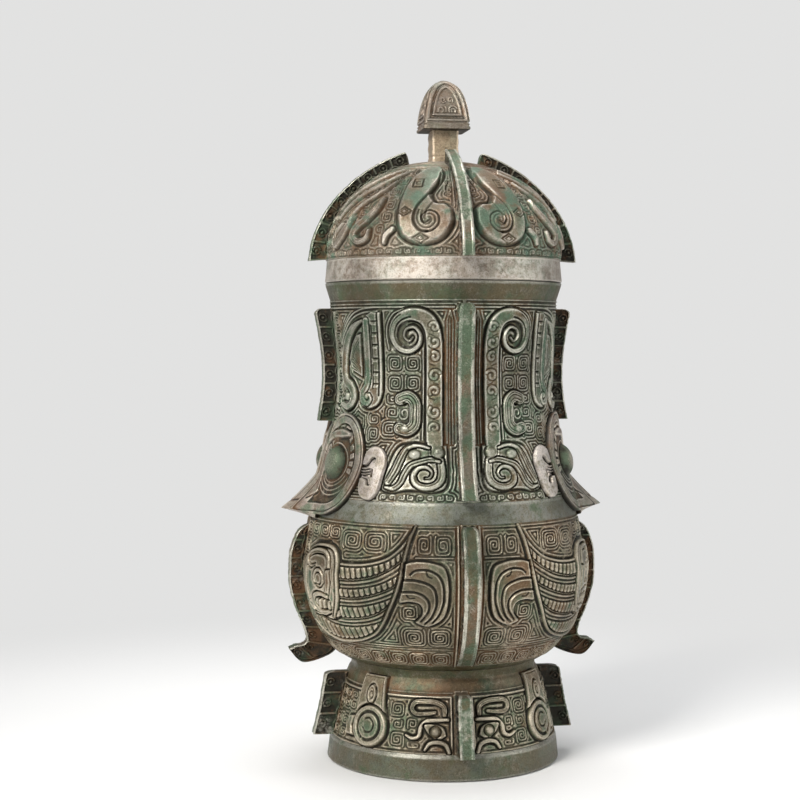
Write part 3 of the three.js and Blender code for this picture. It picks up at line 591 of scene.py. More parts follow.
def draw_belly(p):
    meander(p, [(8, 17.4, 62, 73.6), (18, 26, 62.6, 73.6)] + rows_of(41, 68.6, 63.4, 74.4, 2, 1)
        + rows_of(69.4, 108, 68, 76, 4, 1) + [(99, 108, 58, 67), (24.6, 33.6, 29.8, 38.4)])
    meander(p, rows_of(8, 34.6, 14.6, 26.4, 2, 1) + rows_of(8, 108, 1.2, 11.4, 8, 1) + [(96, 108, 12.4, 20),
        (104.4, 109, 21, 33), (104.6, 109, 34, 46)])
    p.fine([(5.3, 0.8), (5.3, 77)], 1.1, 1.1)
    p.fine([(5, 12.9), (108, 12.9)], 0.6, 0.4)
    p.fine([(5, 76.9), (108, 76.9)], 0.7, 0.5)
    p.fine([(7.6, 61.6), (26, 61.6)], 0.7, 0.7)

    # the folded wing: its front edge bends into its lower one, and four rows hang between
    front = through([(26.4, 77.4), (29.4, 69), (31.4, 60), (33.2, 50.6), (35.6, 43), (39, 35.6), (43.4, 27.6),
        (48, 22.4), (54, 19), (61, 16.8), (69, 15.6), (77, 15.4), (87, 18), (97, 24)], 160)
    rows = [through(knots, 90) for knots in (
        [(27, 77.2), (33, 68), (40.4, 61.6), (50, 58.4), (60, 57.2), (71, 57.2)],
        [(32, 60), (36, 56.6), (40, 54), (46, 51.2), (54, 49.2), (62, 48.2), (71, 48)],
        [(34.6, 47.4), (40, 44.6), (46, 42.2), (54, 40), (62, 39), (72, 38.8)],
        [(38, 37.8), (43, 34), (49, 31), (57, 29), (66, 28), (76, 28.4), (87, 31)])]
    outline = [*rows[0], (77, 66.6), (88.6, 65.4), (98, 61), (103, 50), (102.4, 36), *front[::-1]]
    p.slab(outline, 1.7, 0.9, 0.9, 0.45)
    lobes = [(69, 62), (69, 29), (75, 26.6), (86, 27.6), (101, 34), (102, 50), (97, 60), (88, 65), (77, 66)]
    uu, vv = p.us[None, :], p.vs[:, None]
    inside = depth_in(outline, uu, vv) > 0.9
    for k, (row, stop) in enumerate(zip(rows, (69, 69, 69.4, 94))):
        low = rows[k + 1] if k < 3 else front[60:]
        upper = np.interp(uu, row[:, 0], row[:, 1])
        lower = np.maximum(np.interp(uu, low[:, 0], low[:, 1]), np.interp(uu, front[:, 0], front[:, 1]))
        under = upper - vv
        room = np.maximum(upper - lower - 0.7, 0.1)
        steep = np.hypot(1, np.gradient(upper[0], p.us))[None, :]
        shown = inside & (uu > row[0, 0]) & (uu < stop) & (under > -0.4) & (under < room)
        d = under / steep
        ridges = 0.8 * stripe(d - 0.95, 0.95, 0.75)
        start = 2.2
        if k:
            ridges = np.maximum(ridges, 0.7 * stripe(d - 2.9, 0.8, 0.65))
            start = 3.9
        along = np.concatenate([[0], np.cumsum(np.hypot(np.diff(p.us), np.diff(upper[0])))])[None, :]
        pitch = 3.3 if k < 3 else 3.8
        c = ((along + 0.25 * under) / pitch) % 1 * 2 - 1
        end = room / steep - 0.1 - 1.3 * c * c
        barbs = 1.2 * np.sqrt(np.clip(1 - (c / 0.93) ** 2, 0, 1))
        barbs = barbs * ease((end - d) / 0.7) * ease((d - start) / 0.5)
        p.h = np.where(shown, 0.75 + np.maximum(ridges, barbs), p.h)
    p.band(front, [1.6, 2.2, 2.2, 2.2, 2.2, 2.2, 2], 2.3, 1, 0.5, -1.2, crown=0.2)

    # its shoulder: an outer band round two lobes
    p.slab(lobes, 2.2, 0.9, 0.8, -0.2)
    p.band(through([(74, 28.6), (70.8, 34), (68.9, 40.6), (68.7, 50), (69, 57), (71.4, 62.4), (77, 64.4),
        (88, 63.6), (96.6, 59)], 70), [2.4, 3.2, 3.4, 3.4, 3.4, 3.2, 3, 2.6, 2], 2.5, 1.3, 0.2, -0.4)
    upper = through([(74.6, 54), (75.6, 58.4), (79.4, 61), (87, 61), (93.6, 58.4), (94.6, 55), (91, 52.6),
        (86.6, 54)], 70)
    p.band(upper, [3.6, 4, 4, 4, 3.6, 3.2, 2.6, 1.8], 2.5, 1.2, 0.2, -0.4, crown=0.3)
    p.cut(beside(upper, -0.6)[8:58], 0.7, 0.7)
    p.slab([(73.3, 53), (77.3, 52.4), (78.2, 41.4), (75, 38.6), (72.6, 46)], 2.5, 1, 0.2, -0.3)
    p.band(arc(83.4, 47.4, 4.2, 4, -30, 300, 40), [3, 3, 2.6, 1.8], 2.4, 1.1, 0.2, -0.3)
    lower = through([(77, 38.4), (82, 39.4), (88, 38.4), (90.4, 35), (87.6, 31.6), (82, 29.8), (76.6, 31)], 60)
    p.band(lower, [3, 3.4, 3.8, 4, 4, 4, 3.2], 2.4, 1.1, 0.2, -0.3, crown=0.2)
    for u, v in ((75.6, 34.6), (79.6, 34.8), (83.6, 34.4)):
        p.band([(u, v + 1.4), (u + 0.3, v - 1.6)], 2.8, 2.6, 0.9, 0.4, -0.3)
    p.band(through([(95, 52), (97, 44), (95, 36)], 20), [2, 3.4, 2], 2.6, 0.9, 0.4, -0.3)

    # nested crescents between the wing and the flange, open toward the wing
    crescent = through([(31, 58.8), (26.9, 60), (21, 60), (15.9, 59), (12.3, 57.4), (10.6, 54), (9.8, 49),
        (9.7, 43.4), (10.3, 37.6), (11.6, 33.2), (13.8, 30.2), (17.4, 28), (21, 27), (26.4, 29), (25, 31),
        (23.2, 33.4), (22.9, 36.6), (24.7, 39), (29.1, 39.7), (34, 39.4), (32.8, 45), (31.6, 51), (31, 58.8)],
        150)
    p.slab(crescent[:-1], 1.5, 0.7, 0.8, 0.3)
    for edge in (
            [(28.2, 53.4), (26.2, 55.2), (22.5, 55.8), (18.9, 55.4), (15.2, 53.4), (13, 50.2), (12.2, 45.8),
             (12.3, 40.6), (13.4, 36.4), (15.2, 32.6), (17.8, 29.6)],
            [(32, 50.6), (26.9, 50.8), (23.2, 50.2), (19.6, 49), (17, 47), (15.8, 43.6), (15.7, 39.4),
             (16.7, 35.6), (18.5, 32), (21.6, 28.8)],
            [(33.1, 44.8), (26.9, 45), (23.2, 44), (20.7, 42.2), (19.2, 39.4), (19.6, 35.6), (21.4, 32.6),
             (23.4, 30.2)]):
        path = through(edge, 90)
        p.cut(path, 1, 0.8, 0.6)
        p.bead(beside(path, 0.95), 0.7, 0.45, 0.5)
    p.cut(through([(20.6, 55), (19.8, 52.8), (18, 52)], 12), 0.8, 0.5)
    p.cut(through([(30, 43.4), (28.6, 41.8), (26.4, 42)], 12), 0.8, 0.5)

    p.tint("warm", [(0, -2), (113, -2), (113, 12), (0, 12)], 0.85, 4)
    p.tint("warm", [(3, -2), (7.4, -2), (7.4, 80), (3, 80)], 0.95, 0.8)
    p.fill()


draw_belly(belly)
report("belly", belly)

# %% [markdown]
# Foot: a small beast's face in profile toward the flange, squared spirals, and the owl's leg,
# a round thigh with a curl in it under a broad band that climbs to the belly. Its forms are
# small and worn, so a few bands and rings stand for them.

# %% Foot ornament
foot = Panel(FOOT_SKIN, *FOOT_ZONE, 56, 0.27)


def draw_foot(p):
    meander(p, [(29.4, 39, 17.6, 26.6), (30.4, 36.4, 12, 17), (28.8, 37.4, 2.4, 11.2), (22.4, 28.6, 12, 18.4),
        (20.4, 28, 2.6, 6.6), (39.6, 44.6, 20, 26.6)])
    meander(p, rows_of(62.2, 84, 17.4, 27.6, 3, 2) + rows_of(67.6, 84, 2, 14, 2, 2))
    p.fine([(5.6, 0.8), (5.6, 28.8), (82, 28.8)], 1, 1)
    p.fine([(4.8, 31), (84, 31)], 0.7, 0.5)
    p.fine([(5.6, 0.7), (84, 0.7)], 0.8, 0.8)
    p.band(through([(9, 20), (9.4, 24), (13.4, 26.2), (19, 26.6), (24.4, 26), (26, 22.8), (23.6, 20.4),
        (18, 20.6), (14, 21.2)], 60), [2.6, 3, 3, 3, 2.8, 2.6, 2.4, 2], 1.6, 0.6, 0.6, lines=(1,),
        line_width=0.5)
    p.band(through([(7.4, 17.6), (13, 17.4), (18, 16.8), (21, 13.6), (21.8, 9.4), (25, 8), (28.4, 9.4)], 40),
        [2.2, 2.4, 2.6, 2.6, 2.4, 2.2, 1.6], 1.6, 0.6, 0.6)
    p.slab(through([(8, 9.6), (9.6, 13.6), (14, 15.4), (19.4, 15), (17.6, 11), (14.4, 8.2), (11, 7.8),
        (8, 9.6)], 40)[:-1], 1.2, 0.4, 0.7)
    p.dome(13.6, 11.6, 2.4, 2.7)
    p.cut(arc(13.6, 11.6, 2.9, 2.9, 0, 360), 0.6, 0.7)
    p.band(through([(7, 1.4), (8.6, 5), (12.4, 6.4), (16.4, 5.6), (18.6, 2.4)], 30), [2.2, 2.6, 2.6, 2.4, 1.6],
        1.5, 0.6, 0.6)

    # the leg that climbs from the round thigh
    leg = [*through([(39.4, 15), (41.4, 24), (42.6, 37.8)], 12), (59.4, 37.8),
           *through([(60, 30), (61, 20), (61.4, 13)], 12)]
    p.slab(leg, 2.1, 1.2, 0.9, lines=(1.8,), line_width=0.7)
    p.slab(arc(50.6, 27.6, 3.2, 5, 0, 360, 40)[:-1], 2.7, 0.8, 0.6, -1)
    p.cut(coil(50.6, 27.6, 1.9, 3.4, 1.4, 2.4, 0.4, 1, 0.3), 0.7, 0.7)
    p.slab(arc(50, 11.4, 11.6, 11.2, 0, 360, 70)[:-1], 2.4, 1.6, 0.4, 0.3)
    p.cut(arc(50, 11.4, 7.2, 7.2, -60, 285, 60), 1.5, 1.2, 0.8)
    p.cut(through([(53.6, 5.4), (56.6, 8.6), (57.6, 13)], 20), 0.9, 0.7)
    p.cut(through([(52.6, 14.6), (49.4, 15.4), (46.6, 12.6), (47.6, 9), (51, 8.2), (53, 10)], 40), 0.9, 0.8,
        0.7)
    p.slab([(60.4, 4.6), (66.6, 4.4), (68, 9), (66.4, 14.6), (61.6, 15.4), (62.6, 10)], 1.6, 0.8, 0.5)
    p.tint("warm", [(0, 28), (90, 28), (90, 40), (0, 40)], 0.4, 2)
    p.taken[p.vs > 32.2] = True
    p.fill()


draw_foot(foot)
report("foot", foot)

# %% [markdown]
# Lid: beside the front and back flanges a coiled horn like a comma, its tail climbing. Hooks
# and long feathered forms lie between it and the side flange, over squared spirals. It could
# be a solid of its own, but drawn on the unrolled dome it bends with the dome.

# %% Lid ornament
dome = Panel(LID_SKIN, *LID_ZONE, 56, 0.28)


def draw_lid(p):
    meander(p, rows_of(5.4, 84, 0.8, 4.6, 17, 1))
    meander(p, rows_of(34.6, 41, 17, 31, 1, 2) + rows_of(34, 84, 33, 41, 6, 1) + rows_of(31, 84, 41.6, 49, 6, 1)
        + rows_of(22, 84, 50.6, 58.6, 6, 1) + rows_of(50.6, 56.4, 20, 32, 1, 2) + rows_of(72.4, 84, 6, 32, 2, 4)
        + [(38.4, 43, 11, 16.4)])
    p.fine([(4, 0.4), (84, 0.4)], 0.8, 0.7)
    p.fine([(4, 60.4), (84, 60.4)], 1.4, 0.8)
    p.fine([(4.4, 26), (4.4, 60)], 0.9, 0.7)
    for k in range(4):
        p.fine(coil(7, 33.4 + 3.2 * k, 1.6, 1.3, 1, 4, k, 1, 0.4), 0.6, 0.6)

    # the coiled horn and its tail
    horn = through([(5, 24.4), (4.6, 17), (8, 10), (14.4, 5.8), (22.6, 5.6), (29.6, 10), (32.4, 18), (33, 29),
        (31.8, 40), (28, 50), (20.6, 56.8), (12.4, 57.4), (9, 52.4), (9.8, 46), (12.6, 40), (15.6, 33.6),
        (13.4, 28.4), (8.6, 27.6), (5, 24.4)], 130)
    p.slab(horn[:-1], 2.7, 2.4, 0.6, 0.5)
    groove = through([(11.4, 49), (13.2, 41), (18, 32), (22.6, 24.6), (23.6, 17.6), (20.6, 12.6), (15.4, 12),
        (12, 15.6), (12.6, 20.4), (16.6, 22.4), (20, 19.6), (18.6, 16.2), (16.2, 17.4)], 130)
    p.cut(groove[:62], 1.1, 1.2, 0.9)
    p.cut(groove[60:], 0.8, 0.9, 0.6)
    for gap in (-1.8, -3.6):
        p.cut(beside(groove, gap)[34:100], 0.7, 0.55, 0.6)
    p.cut(beside(groove, -5.2)[4:50], 0.8, 0.6, 0.7)
    for u, v in ((20, 8.6), (28.4, 22)):
        size = np.array([[0, 2.4], [3.6, 0], [0, -2.4], [-3.6, 0], [0, 2.4]])
        p.cut(size + [u, v], 0.7, 0.7)
        p.cut(size * 0.5 + [u, v], 0.6, 0.6)
        p.dome(u, v, 0.9, p.h.max())
    p.cut([(21.6, 37), (27, 37), (27, 43), (21.6, 43), (21.6, 37)], 0.7, 0.7)
    p.cut([(23.2, 39), (25.4, 39), (25.4, 41), (23.2, 41)], 0.6, 0.6)

    # hooks beside it, and the long forms toward the side flange
    p.band(through([(42.6, 31), (44.4, 25), (49, 19.6), (54, 15.6), (56, 11.4), (52.4, 8), (47.4, 9.4),
        (46.4, 13.4)], 70), [2.6, 4.4, 5.2, 5.4, 5, 4.4, 3.6, 2.4], 2.3, 1.3, 0.5, lines=(1.5,), line_width=0.6,
        line_deep=0.5)
    p.band(through([(33.6, 13.6), (36.6, 10.6), (37.6, 6.6)], 24), [3.2, 3.4, 2], 1.9, 0.8, 0.7)
    p.band(through([(58.6, 25.6), (60.6, 18), (65, 11.6), (70, 7.4), (70.4, 12), (66.4, 18)], 60),
        [2.6, 4.6, 6, 5.2, 4, 2.2], 2.2, 1.3, 0.5, lines=(1.5,), line_width=0.6, line_deep=0.5)
    for path, wide in (
            ([(40, 44), (44, 38.6), (50, 33), (57, 27.6), (60, 22)], [1.8, 3, 3.4, 3, 1.6]),
            ([(37, 53), (44, 47.6), (52, 41.6), (60, 35.6), (67, 29), (72, 21)], [1.8, 3, 3.8, 3.8, 3.2, 1.8]),
            ([(44, 56.6), (53, 51), (62, 44.6), (70, 37), (76, 28)], [1.8, 3, 3.6, 3.2, 1.8])):
        p.band(through(path, 60), wide, 1.9, 1.1, 0.5, lines=(1.2,), line_width=0.5, line_deep=0.4)
    p.tint("green", [(0, 0), (88, 0), (88, 66), (0, 66)], 0.4, 1)
    p.tint("warm", [(34, 0), (88, 0), (88, 66), (34, 66)], 0.4, 6)
    p.fill()


draw_lid(dome)
report("lid", dome)

# %% [markdown]
# Bronze that has lain long in the ground: nearly black-brown in the recesses, partly its dark
# patina and partly painted shade, grey-olive on the level, cream and beige where edges were
# rubbed and a highlight is painted on them, with mineral green, rust and earth in patches, and
# small painted glints on worn places. Smooth bands are worn pale and mottled; the lid's band is
# partly a painted highlight. One shader group makes the colour, the roughness and the pitting
# from the values that each piece carries. The wear of edges, with the painted highlight on them
# and the painted shade in recesses, is measured when a mesh is made, so it stays with the piece
# wherever the piece goes.

# %% Node helpers


def new_group(name, inputs, outputs):
    group = bpy.data.node_groups.new(name, "ShaderNodeTree")
    for label, kind, value in inputs:
        socket = group.interface.new_socket(name=label, in_out="INPUT", socket_type=kind)
        socket.default_value = value
    for label, kind in outputs:
        group.interface.new_socket(name=label, in_out="OUTPUT", socket_type=kind)
    return group, group.nodes.new("NodeGroupInput"), group.nodes.new("NodeGroupOutput")


def wire(tree, value, socket):
    if isinstance(value, bpy.types.NodeSocket):
        tree.links.new(value, socket)
    elif value is not None:
        socket.default_value = value


def add(tree, kind, *values, **settings):
    """Adds a node with these settings, and feeds its inputs in their order."""
    node = tree.nodes.new("ShaderNode" + kind)
    for key, setting in settings.items():
        setattr(node, key, setting)
    for value, socket in zip(values, node.inputs):
        wire(tree, value, socket)
    return node


def noise(tree, where, scale, detail, rough, offset=0.0):
    shift = add(tree, "VectorMath", where, (offset, offset * 0.7, offset * 1.3), operation="ADD")
    return add(tree, "TexNoise", shift.outputs[0], None, scale, detail, rough).outputs["Fac"]


def ramp(tree, value, low, high, to_low=0.0, to_high=1.0):
    node = add(tree, "MapRange", value, low, high, to_low, to_high, interpolation_type="SMOOTHSTEP")
    return node.outputs[0]


def calc(tree, a, b, kind):
    return add(tree, "Math", a, b, operation=kind).outputs[0]


plus, minus, times = (partial(calc, kind=kind) for kind in ("ADD", "SUBTRACT", "MULTIPLY"))


def blend(tree, factor, a, b):
    node = add(tree, "Mix", factor, data_type="RGBA")
    wire(tree, a, node.inputs[6])
    wire(tree, b, node.inputs[7])
    return node.outputs[2]


print("node helpers ready")

# %% Patina group


def make_patina():
    tree, gin, gout = new_group(
        "Patina",
        [("Position", "NodeSocketVector", (0, 0, 0)), ("Ridge", "NodeSocketFloat", 0.5),
         ("Green", "NodeSocketFloat", 0.0), ("Warm", "NodeSocketFloat", 0.0), ("Pale", "NodeSocketFloat", 0.0),
         ("Deep", "NodeSocketColor", (0.016, 0.014, 0.008, 1)),
         ("Level", "NodeSocketColor", (0.16, 0.158, 0.104, 1)),
         ("Rubbed", "NodeSocketColor", (0.6, 0.59, 0.5, 1)),
         ("Mineral", "NodeSocketColor", (0.07, 0.155, 0.09, 1)),
         ("Stain", "NodeSocketColor", (0.17, 0.08, 0.032, 1)),
         ("Worn", "NodeSocketColor", (0.4, 0.42, 0.38, 1))],
        [("Color", "NodeSocketColor"), ("Roughness", "NodeSocketFloat"), ("Height", "NodeSocketFloat")])
    # The darkest colour is dark patina and the painted shade of recesses, the palest rubbed bronze and the painted
    # highlight of edges, and the worn-face colour on the lid's band partly a painted highlight.
    pos, ridge, green, warm, pale, deep, level, rubbed, mineral, stain, worn_face = gin.outputs[:11]
    broad = noise(tree, pos, 30, 3, 0.55)
    patch = noise(tree, pos, 62, 5, 0.62, 3.1)
    mottle = noise(tree, pos, 170, 4, 0.6, 5.3)
    speck = noise(tree, pos, 430, 4, 0.7, 7.7)
    grit = noise(tree, pos, 1300, 3, 0.7, 1.9)

    # where hands rub and a highlight is painted, and recesses of dark patina and painted shade, broken up by the
    # grain and by broad patches
    loose = plus(tree, times(tree, minus(tree, speck, 0.5), 0.42),
                 times(tree, minus(tree, mottle, 0.5), 0.5))
    worn = plus(tree, ridge, loose)
    low = ramp(tree, worn, 0.18, 0.54)
    high = ramp(tree, worn, 0.48, 0.9)
    dull = blend(tree, ramp(tree, broad, 0.4, 0.62, 0.0, 0.75), level, mineral)
    earthy = noise(tree, pos, 36, 4, 0.6, 21.3)
    dull = blend(tree, ramp(tree, earthy, 0.46, 0.62, 0.0, 0.7), dull, stain)
    dull = blend(tree, ramp(tree, mottle, 0.42, 0.66, 0.0, 0.5), dull, blend(tree, 0.45, deep, stain))
    colour = blend(tree, low, deep, dull)
    colour = blend(tree, high, colour, rubbed)

    # smooth worn faces, on the lid's band partly a painted highlight, mottled with what is left of the dark crust
    crust = plus(tree, times(tree, mottle, 0.55), times(tree, speck, 0.45))
    smooth = times(tree, pale, ramp(tree, crust, 0.62, 0.42, 0.08, 0.74))
    smooth = times(tree, smooth, ramp(tree, ridge, 0.16, 0.42))
    colour = blend(tree, smooth, colour, worn_face)

    # mineral bloom, then rust and earth
    limit = minus(tree, 0.68, times(tree, green, 0.36))
    bloom = ramp(tree, minus(tree, patch, limit), -0.03, 0.07)
    bloom = times(tree, bloom, ramp(tree, ridge, 0.15, 0.45, 0.3, 0.8))
    colour = blend(tree, bloom, colour, mineral)
    rust = noise(tree, pos, 95, 5, 0.65, 12.4)
    brown = minus(tree, 0.66, times(tree, warm, 0.4))
    brown = ramp(tree, minus(tree, rust, brown), -0.02, 0.12, 0.0, 0.6)
    brown = times(tree, brown, ramp(tree, ridge, 0.2, 0.8, 1.0, 0.25))
    colour = blend(tree, brown, colour, stain)
    dots = ramp(tree, speck, 0.58, 0.68, 0.0, 0.5)
    colour = blend(tree, dots, colour, blend(tree, 0.5, deep, stain))
    # painted glints: specks of the palest colour on worn places stand in for sparkles of light
    sparks = times(tree, ramp(tree, grit, 0.53, 0.66, 0.0, 0.5), ramp(tree, worn, 0.42, 0.7))
    colour = blend(tree, sparks, colour, rubbed)
    chalk = noise(tree, pos, 48, 6, 0.7, 33.7)
    chalk = times(tree, ramp(tree, chalk, 0.56, 0.66, 0.0, 0.38), ramp(tree, speck, 0.4, 0.6))
    colour = blend(tree, chalk, colour, rubbed)
    shade = noise(tree, pos, 22, 5, 0.6, 41.9)
    colour = blend(tree, ramp(tree, shade, 0.46, 0.66, 0.0, 0.42), colour, deep)
    colour = blend(tree, ramp(tree, grit, 0.34, 0.5, 0.42, 0.0), colour, deep)
    tree.links.new(colour, gout.inputs["Color"])

    rough = plus(tree, ramp(tree, worn, 0.25, 0.75, 0.56, 0.3), times(tree, bloom, 0.12))
    tree.links.new(plus(tree, rough, times(tree, grit, 0.08)), gout.inputs["Roughness"])
    tall = plus(tree, times(tree, speck, 0.6), times(tree, grit, 0.4))
    tree.links.new(plus(tree, tall, times(tree, smooth, 0.4)), gout.inputs["Height"])
    return tree


PATINA = make_patina()
PIT_DEPTH = 0.0006


def bronze(name, metallic=0.5, bump=0.75, **colours):
    material = bpy.data.materials.new(name)
    material.use_nodes = True
    tree = material.node_tree
    tree.nodes.clear()
    out = add(tree, "OutputMaterial")
    shader = add(tree, "BsdfPrincipled")
    group = add(tree, "Group", node_tree=PATINA)
    wire(tree, add(tree, "TexCoord").outputs["Object"], group.inputs["Position"])
    for label in VALUES:
        values = add(tree, "Attribute", attribute_name=label)
        wire(tree, values.outputs["Fac"], group.inputs[label.capitalize()])
    for socket, value in colours.items():
        group.inputs[socket].default_value = (*value, 1)
    wire(tree, group.outputs["Color"], shader.inputs["Base Color"])
    wire(tree, group.outputs["Roughness"], shader.inputs["Roughness"])
    wire(tree, metallic, shader.inputs["Metallic"])
    relief = add(tree, "Bump")
    wire(tree, bump, relief.inputs["Strength"])
    wire(tree, PIT_DEPTH, relief.inputs["Distance"])
    wire(tree, group.outputs["Height"], relief.inputs["Height"])
    wire(tree, relief.outputs["Normal"], shader.inputs["Normal"])
    wire(tree, shader.outputs[0], out.inputs[0])
    return material


RELIEF = bronze("relief_bronze")
EARTHY = bronze("belly_bronze", Level=(0.185, 0.155, 0.094), Mineral=(0.075, 0.15, 0.085),
                Rubbed=(0.53, 0.47, 0.36))
SMOOTH = bronze("plain_bronze", Level=(0.085, 0.085, 0.04), Mineral=(0.075, 0.11, 0.055),
                Stain=(0.11, 0.075, 0.03), Rubbed=(0.34, 0.33, 0.28), Worn=(0.26, 0.27, 0.245))
LIDDED = bronze("lid_bronze", Deep=(0.05, 0.04, 0.026), Level=(0.3, 0.25, 0.185), Mineral=(0.1, 0.19, 0.13),
                Rubbed=(0.52, 0.47, 0.4), Worn=(0.62, 0.57, 0.51))
FLANGE = bronze("flange_bronze", Level=(0.105, 0.1, 0.06), Mineral=(0.07, 0.125, 0.07), Worn=(0.36, 0.33, 0.28))
EYES = bronze("eye_bronze", Level=(0.22, 0.19, 0.13), Mineral=(0.11, 0.16, 0.1), Rubbed=(0.58, 0.52, 0.42),
              Worn=(0.72, 0.65, 0.61))
GOLDEN = bronze("knob_bronze", Level=(0.46, 0.34, 0.2), Rubbed=(0.7, 0.56, 0.4), Worn=(0.66, 0.52, 0.38))
print("materials ready")

# %% [markdown]
# The relief sheets are laid on the vessel, four to each part, and a plain turned wall carries
# them: it shows as the smooth bands and as the inside. One mesh could hold both, but then the
# plain parts would need the sheets' very fine grid.

# %% Lay the relief sheets


def dress(piece, material, body, slot, *nodes):
    piece.data.materials.append(material)
    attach(piece, body)
    if nodes:
        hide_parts(*nodes)
    return piece


QUARTERS = {"front_left": (-1, 0), "front_right": (1, 0), "back_left": (-1, 1), "back_right": (1, 1)}
SUNK = 1.7


def quarter(panel, label, name, material, body, slot, *nodes, gain=GAIN):
    mirror, back = QUARTERS[name]
    a = panel.us / panel.wide * math.pi / 2
    a = mirror * (math.pi - a if back else a)
    grid_a, grid_v = np.meshgrid(a, panel.v0 + panel.vs)
    edge = np.minimum(grid_v - panel.v0, panel.v0 + panel.tall - grid_v) / 0.9
    h = panel.h * ease(edge + 0.25)
    front = panel.skin.place(grid_a, grid_v, h)
    rear = panel.skin.place(grid_a[::BACK, ::BACK], grid_v[::BACK, ::BACK], -SUNK)
    piece = sheet(f"{label}_relief_{name}", front, rear, ridge=wear(h, panel.step, gain), **panel.tints)
    return dress(piece, material, body, slot, *nodes)


for name in QUARTERS:
    quarter(neck, "neck", name, RELIEF, "vessel", "patinated_bronze")
    quarter(belly, "belly", name, EARTHY, "vessel", "patinated_bronze")
    quarter(foot, "foot", name, EARTHY, "vessel", "patinated_bronze", f"owl_leg_{name}", gain=0.6)
    quarter(dome, "lid", name, LIDDED, "lid", "lid_bronze", f"coiled_horn_{name}", gain=0.4)
print("relief sheets", 4 * len(QUARTERS))

# %% Turned walls
WALL_COLUMNS = 220


def wave(a, z, size):
    """How far a wall strays from truly round, as a cast one does."""
    slow, middle, quick = np.sin(3 * a + z * 0.21), np.sin(7 * a - z * 0.13), np.sin(13 * a + z * 0.37)
    return size * (slow + 0.7 * middle + 0.5 * quick) / 2.2


def turned(name, profile, loop=False, wavy=0.12, **zones):
    p = np.array(profile, float)
    a = np.linspace(0, 2 * math.pi, WALL_COLUMNS, endpoint=False)
    r = p[:, :1] + np.where(p[:, :1] > 20, wave(a[None, :], p[:, 1:], wavy), 0)
    pts = np.stack([r * np.sin(a), -r * np.cos(a), p[:, 1:] + 0 * a], -1)
    spread = {}
    for label, bands in zones.items():
        spread[label] = np.zeros((len(p), 1))
        for low, high, value in bands:
            spread[label][(p[:, 1] >= low) & (p[:, 1] <= high)] = value
    return tube(name, pts, loop, **spread)


def walled(skin, z0, z1, sunk, step=1.0):
    """Points up a skin, set back by SUNK wherever a relief sheet covers it."""
    points = []
    edges = {z + off for low, high in sunk for z, off in ((low, 0.3), (low, 0.35), (high, -0.35), (high, -0.3))}
    marks = sorted(set(np.arange(z0, z1, step)) | {z1} | edges)
    for z in marks:
        under = any(low + 0.32 < z < high - 0.32 for low, high in sunk)
        points.append([float(skin.radius(z)) - (SUNK - 0.05 if under else 0), z])
    return points


outer = walled(BODY_SKIN, BASE + 0.05, RIM - 0.8, [BELLY_ZONE, NECK_ZONE])
inner = [[float(BODY_SKIN.radius(z)) - WALL, z] for z in np.arange(RIM - 0.8, BASE + WALL, -3)]
# The rim and the shoulder's edge are set lighter: rubbed bronze with a painted highlight.
vessel_wall = turned("vessel_wall", [[0.4, BASE]] + [[r, BASE] for r in (20, 40, 49.8)] + outer
                     + [[62.9, RIM - 0.3], [62.3, RIM], [60.2, RIM], [59.5, RIM - 0.4]] + inner
                     + [[r, BASE + WALL] for r in (46, 30, 12, 0.4)], wavy=0.1,
                     ridge=[(0, RIM, 0.5), (BASE + 86, BASE + 88, 0.7), (RIM - 1, RIM, 0.8)],
                     pale=[(BASE + 76, BASE + 88, 0.85), (BASE + 188, RIM, 0.12)],
                     green=[(BASE + 188, RIM, 0.45), (BASE + 76, BASE + 88, 0.3)],
                     warm=[(BASE, BASE + 5, 0.6), (BASE + 188, RIM, 0.55)])
dress(vessel_wall, SMOOTH, "vessel", "patinated_bronze", "vessel_body")

foot_outer = walled(FOOT_SKIN, 0.6, FOOT_TOP - 0.05, [FOOT_ZONE])
foot_inner = [[float(FOOT_SKIN.radius(z)) - WALL, z] for z in np.arange(FOOT_TOP - 0.05, 0.5, -3)]
# The foot's edges are set lighter: rubbed bronze with a painted highlight.
foot_wall = turned("foot_wall", [[61.2, 0.0]] + foot_outer + foot_inner + [[59, 0.0]], True, wavy=0.12,
                   ridge=[(0, 99, 0.5), (11, 14, 0.75), (0, 1.2, 0.75)], pale=[(0, 14, 0.4)],
                   green=[(0, 99, 0.2)], warm=[(0, 14, 0.45), (49, 99, 0.6)])
dress(foot_wall, SMOOTH, "vessel", "patinated_bronze", "foot_ring")

HOLLOW = 47
spigot = MOUTH - WALL - SPIGOT_GAP
lid_outer = walled(LID_SKIN, LID + 0.6, DOME_TOP - 0.2, [(LID_ZONE[0], LID_ZONE[1] - 0.03)], 0.7)
under_t = np.sin(np.linspace(1, 0, 24) * math.pi / 2)
lid_inner = [[CROWN + (DOME_FOOT - WALL - CROWN) * (1 - t * t) ** DOME_ROUND, DOME + (HOLLOW - WALL) * t]
    for t in under_t]
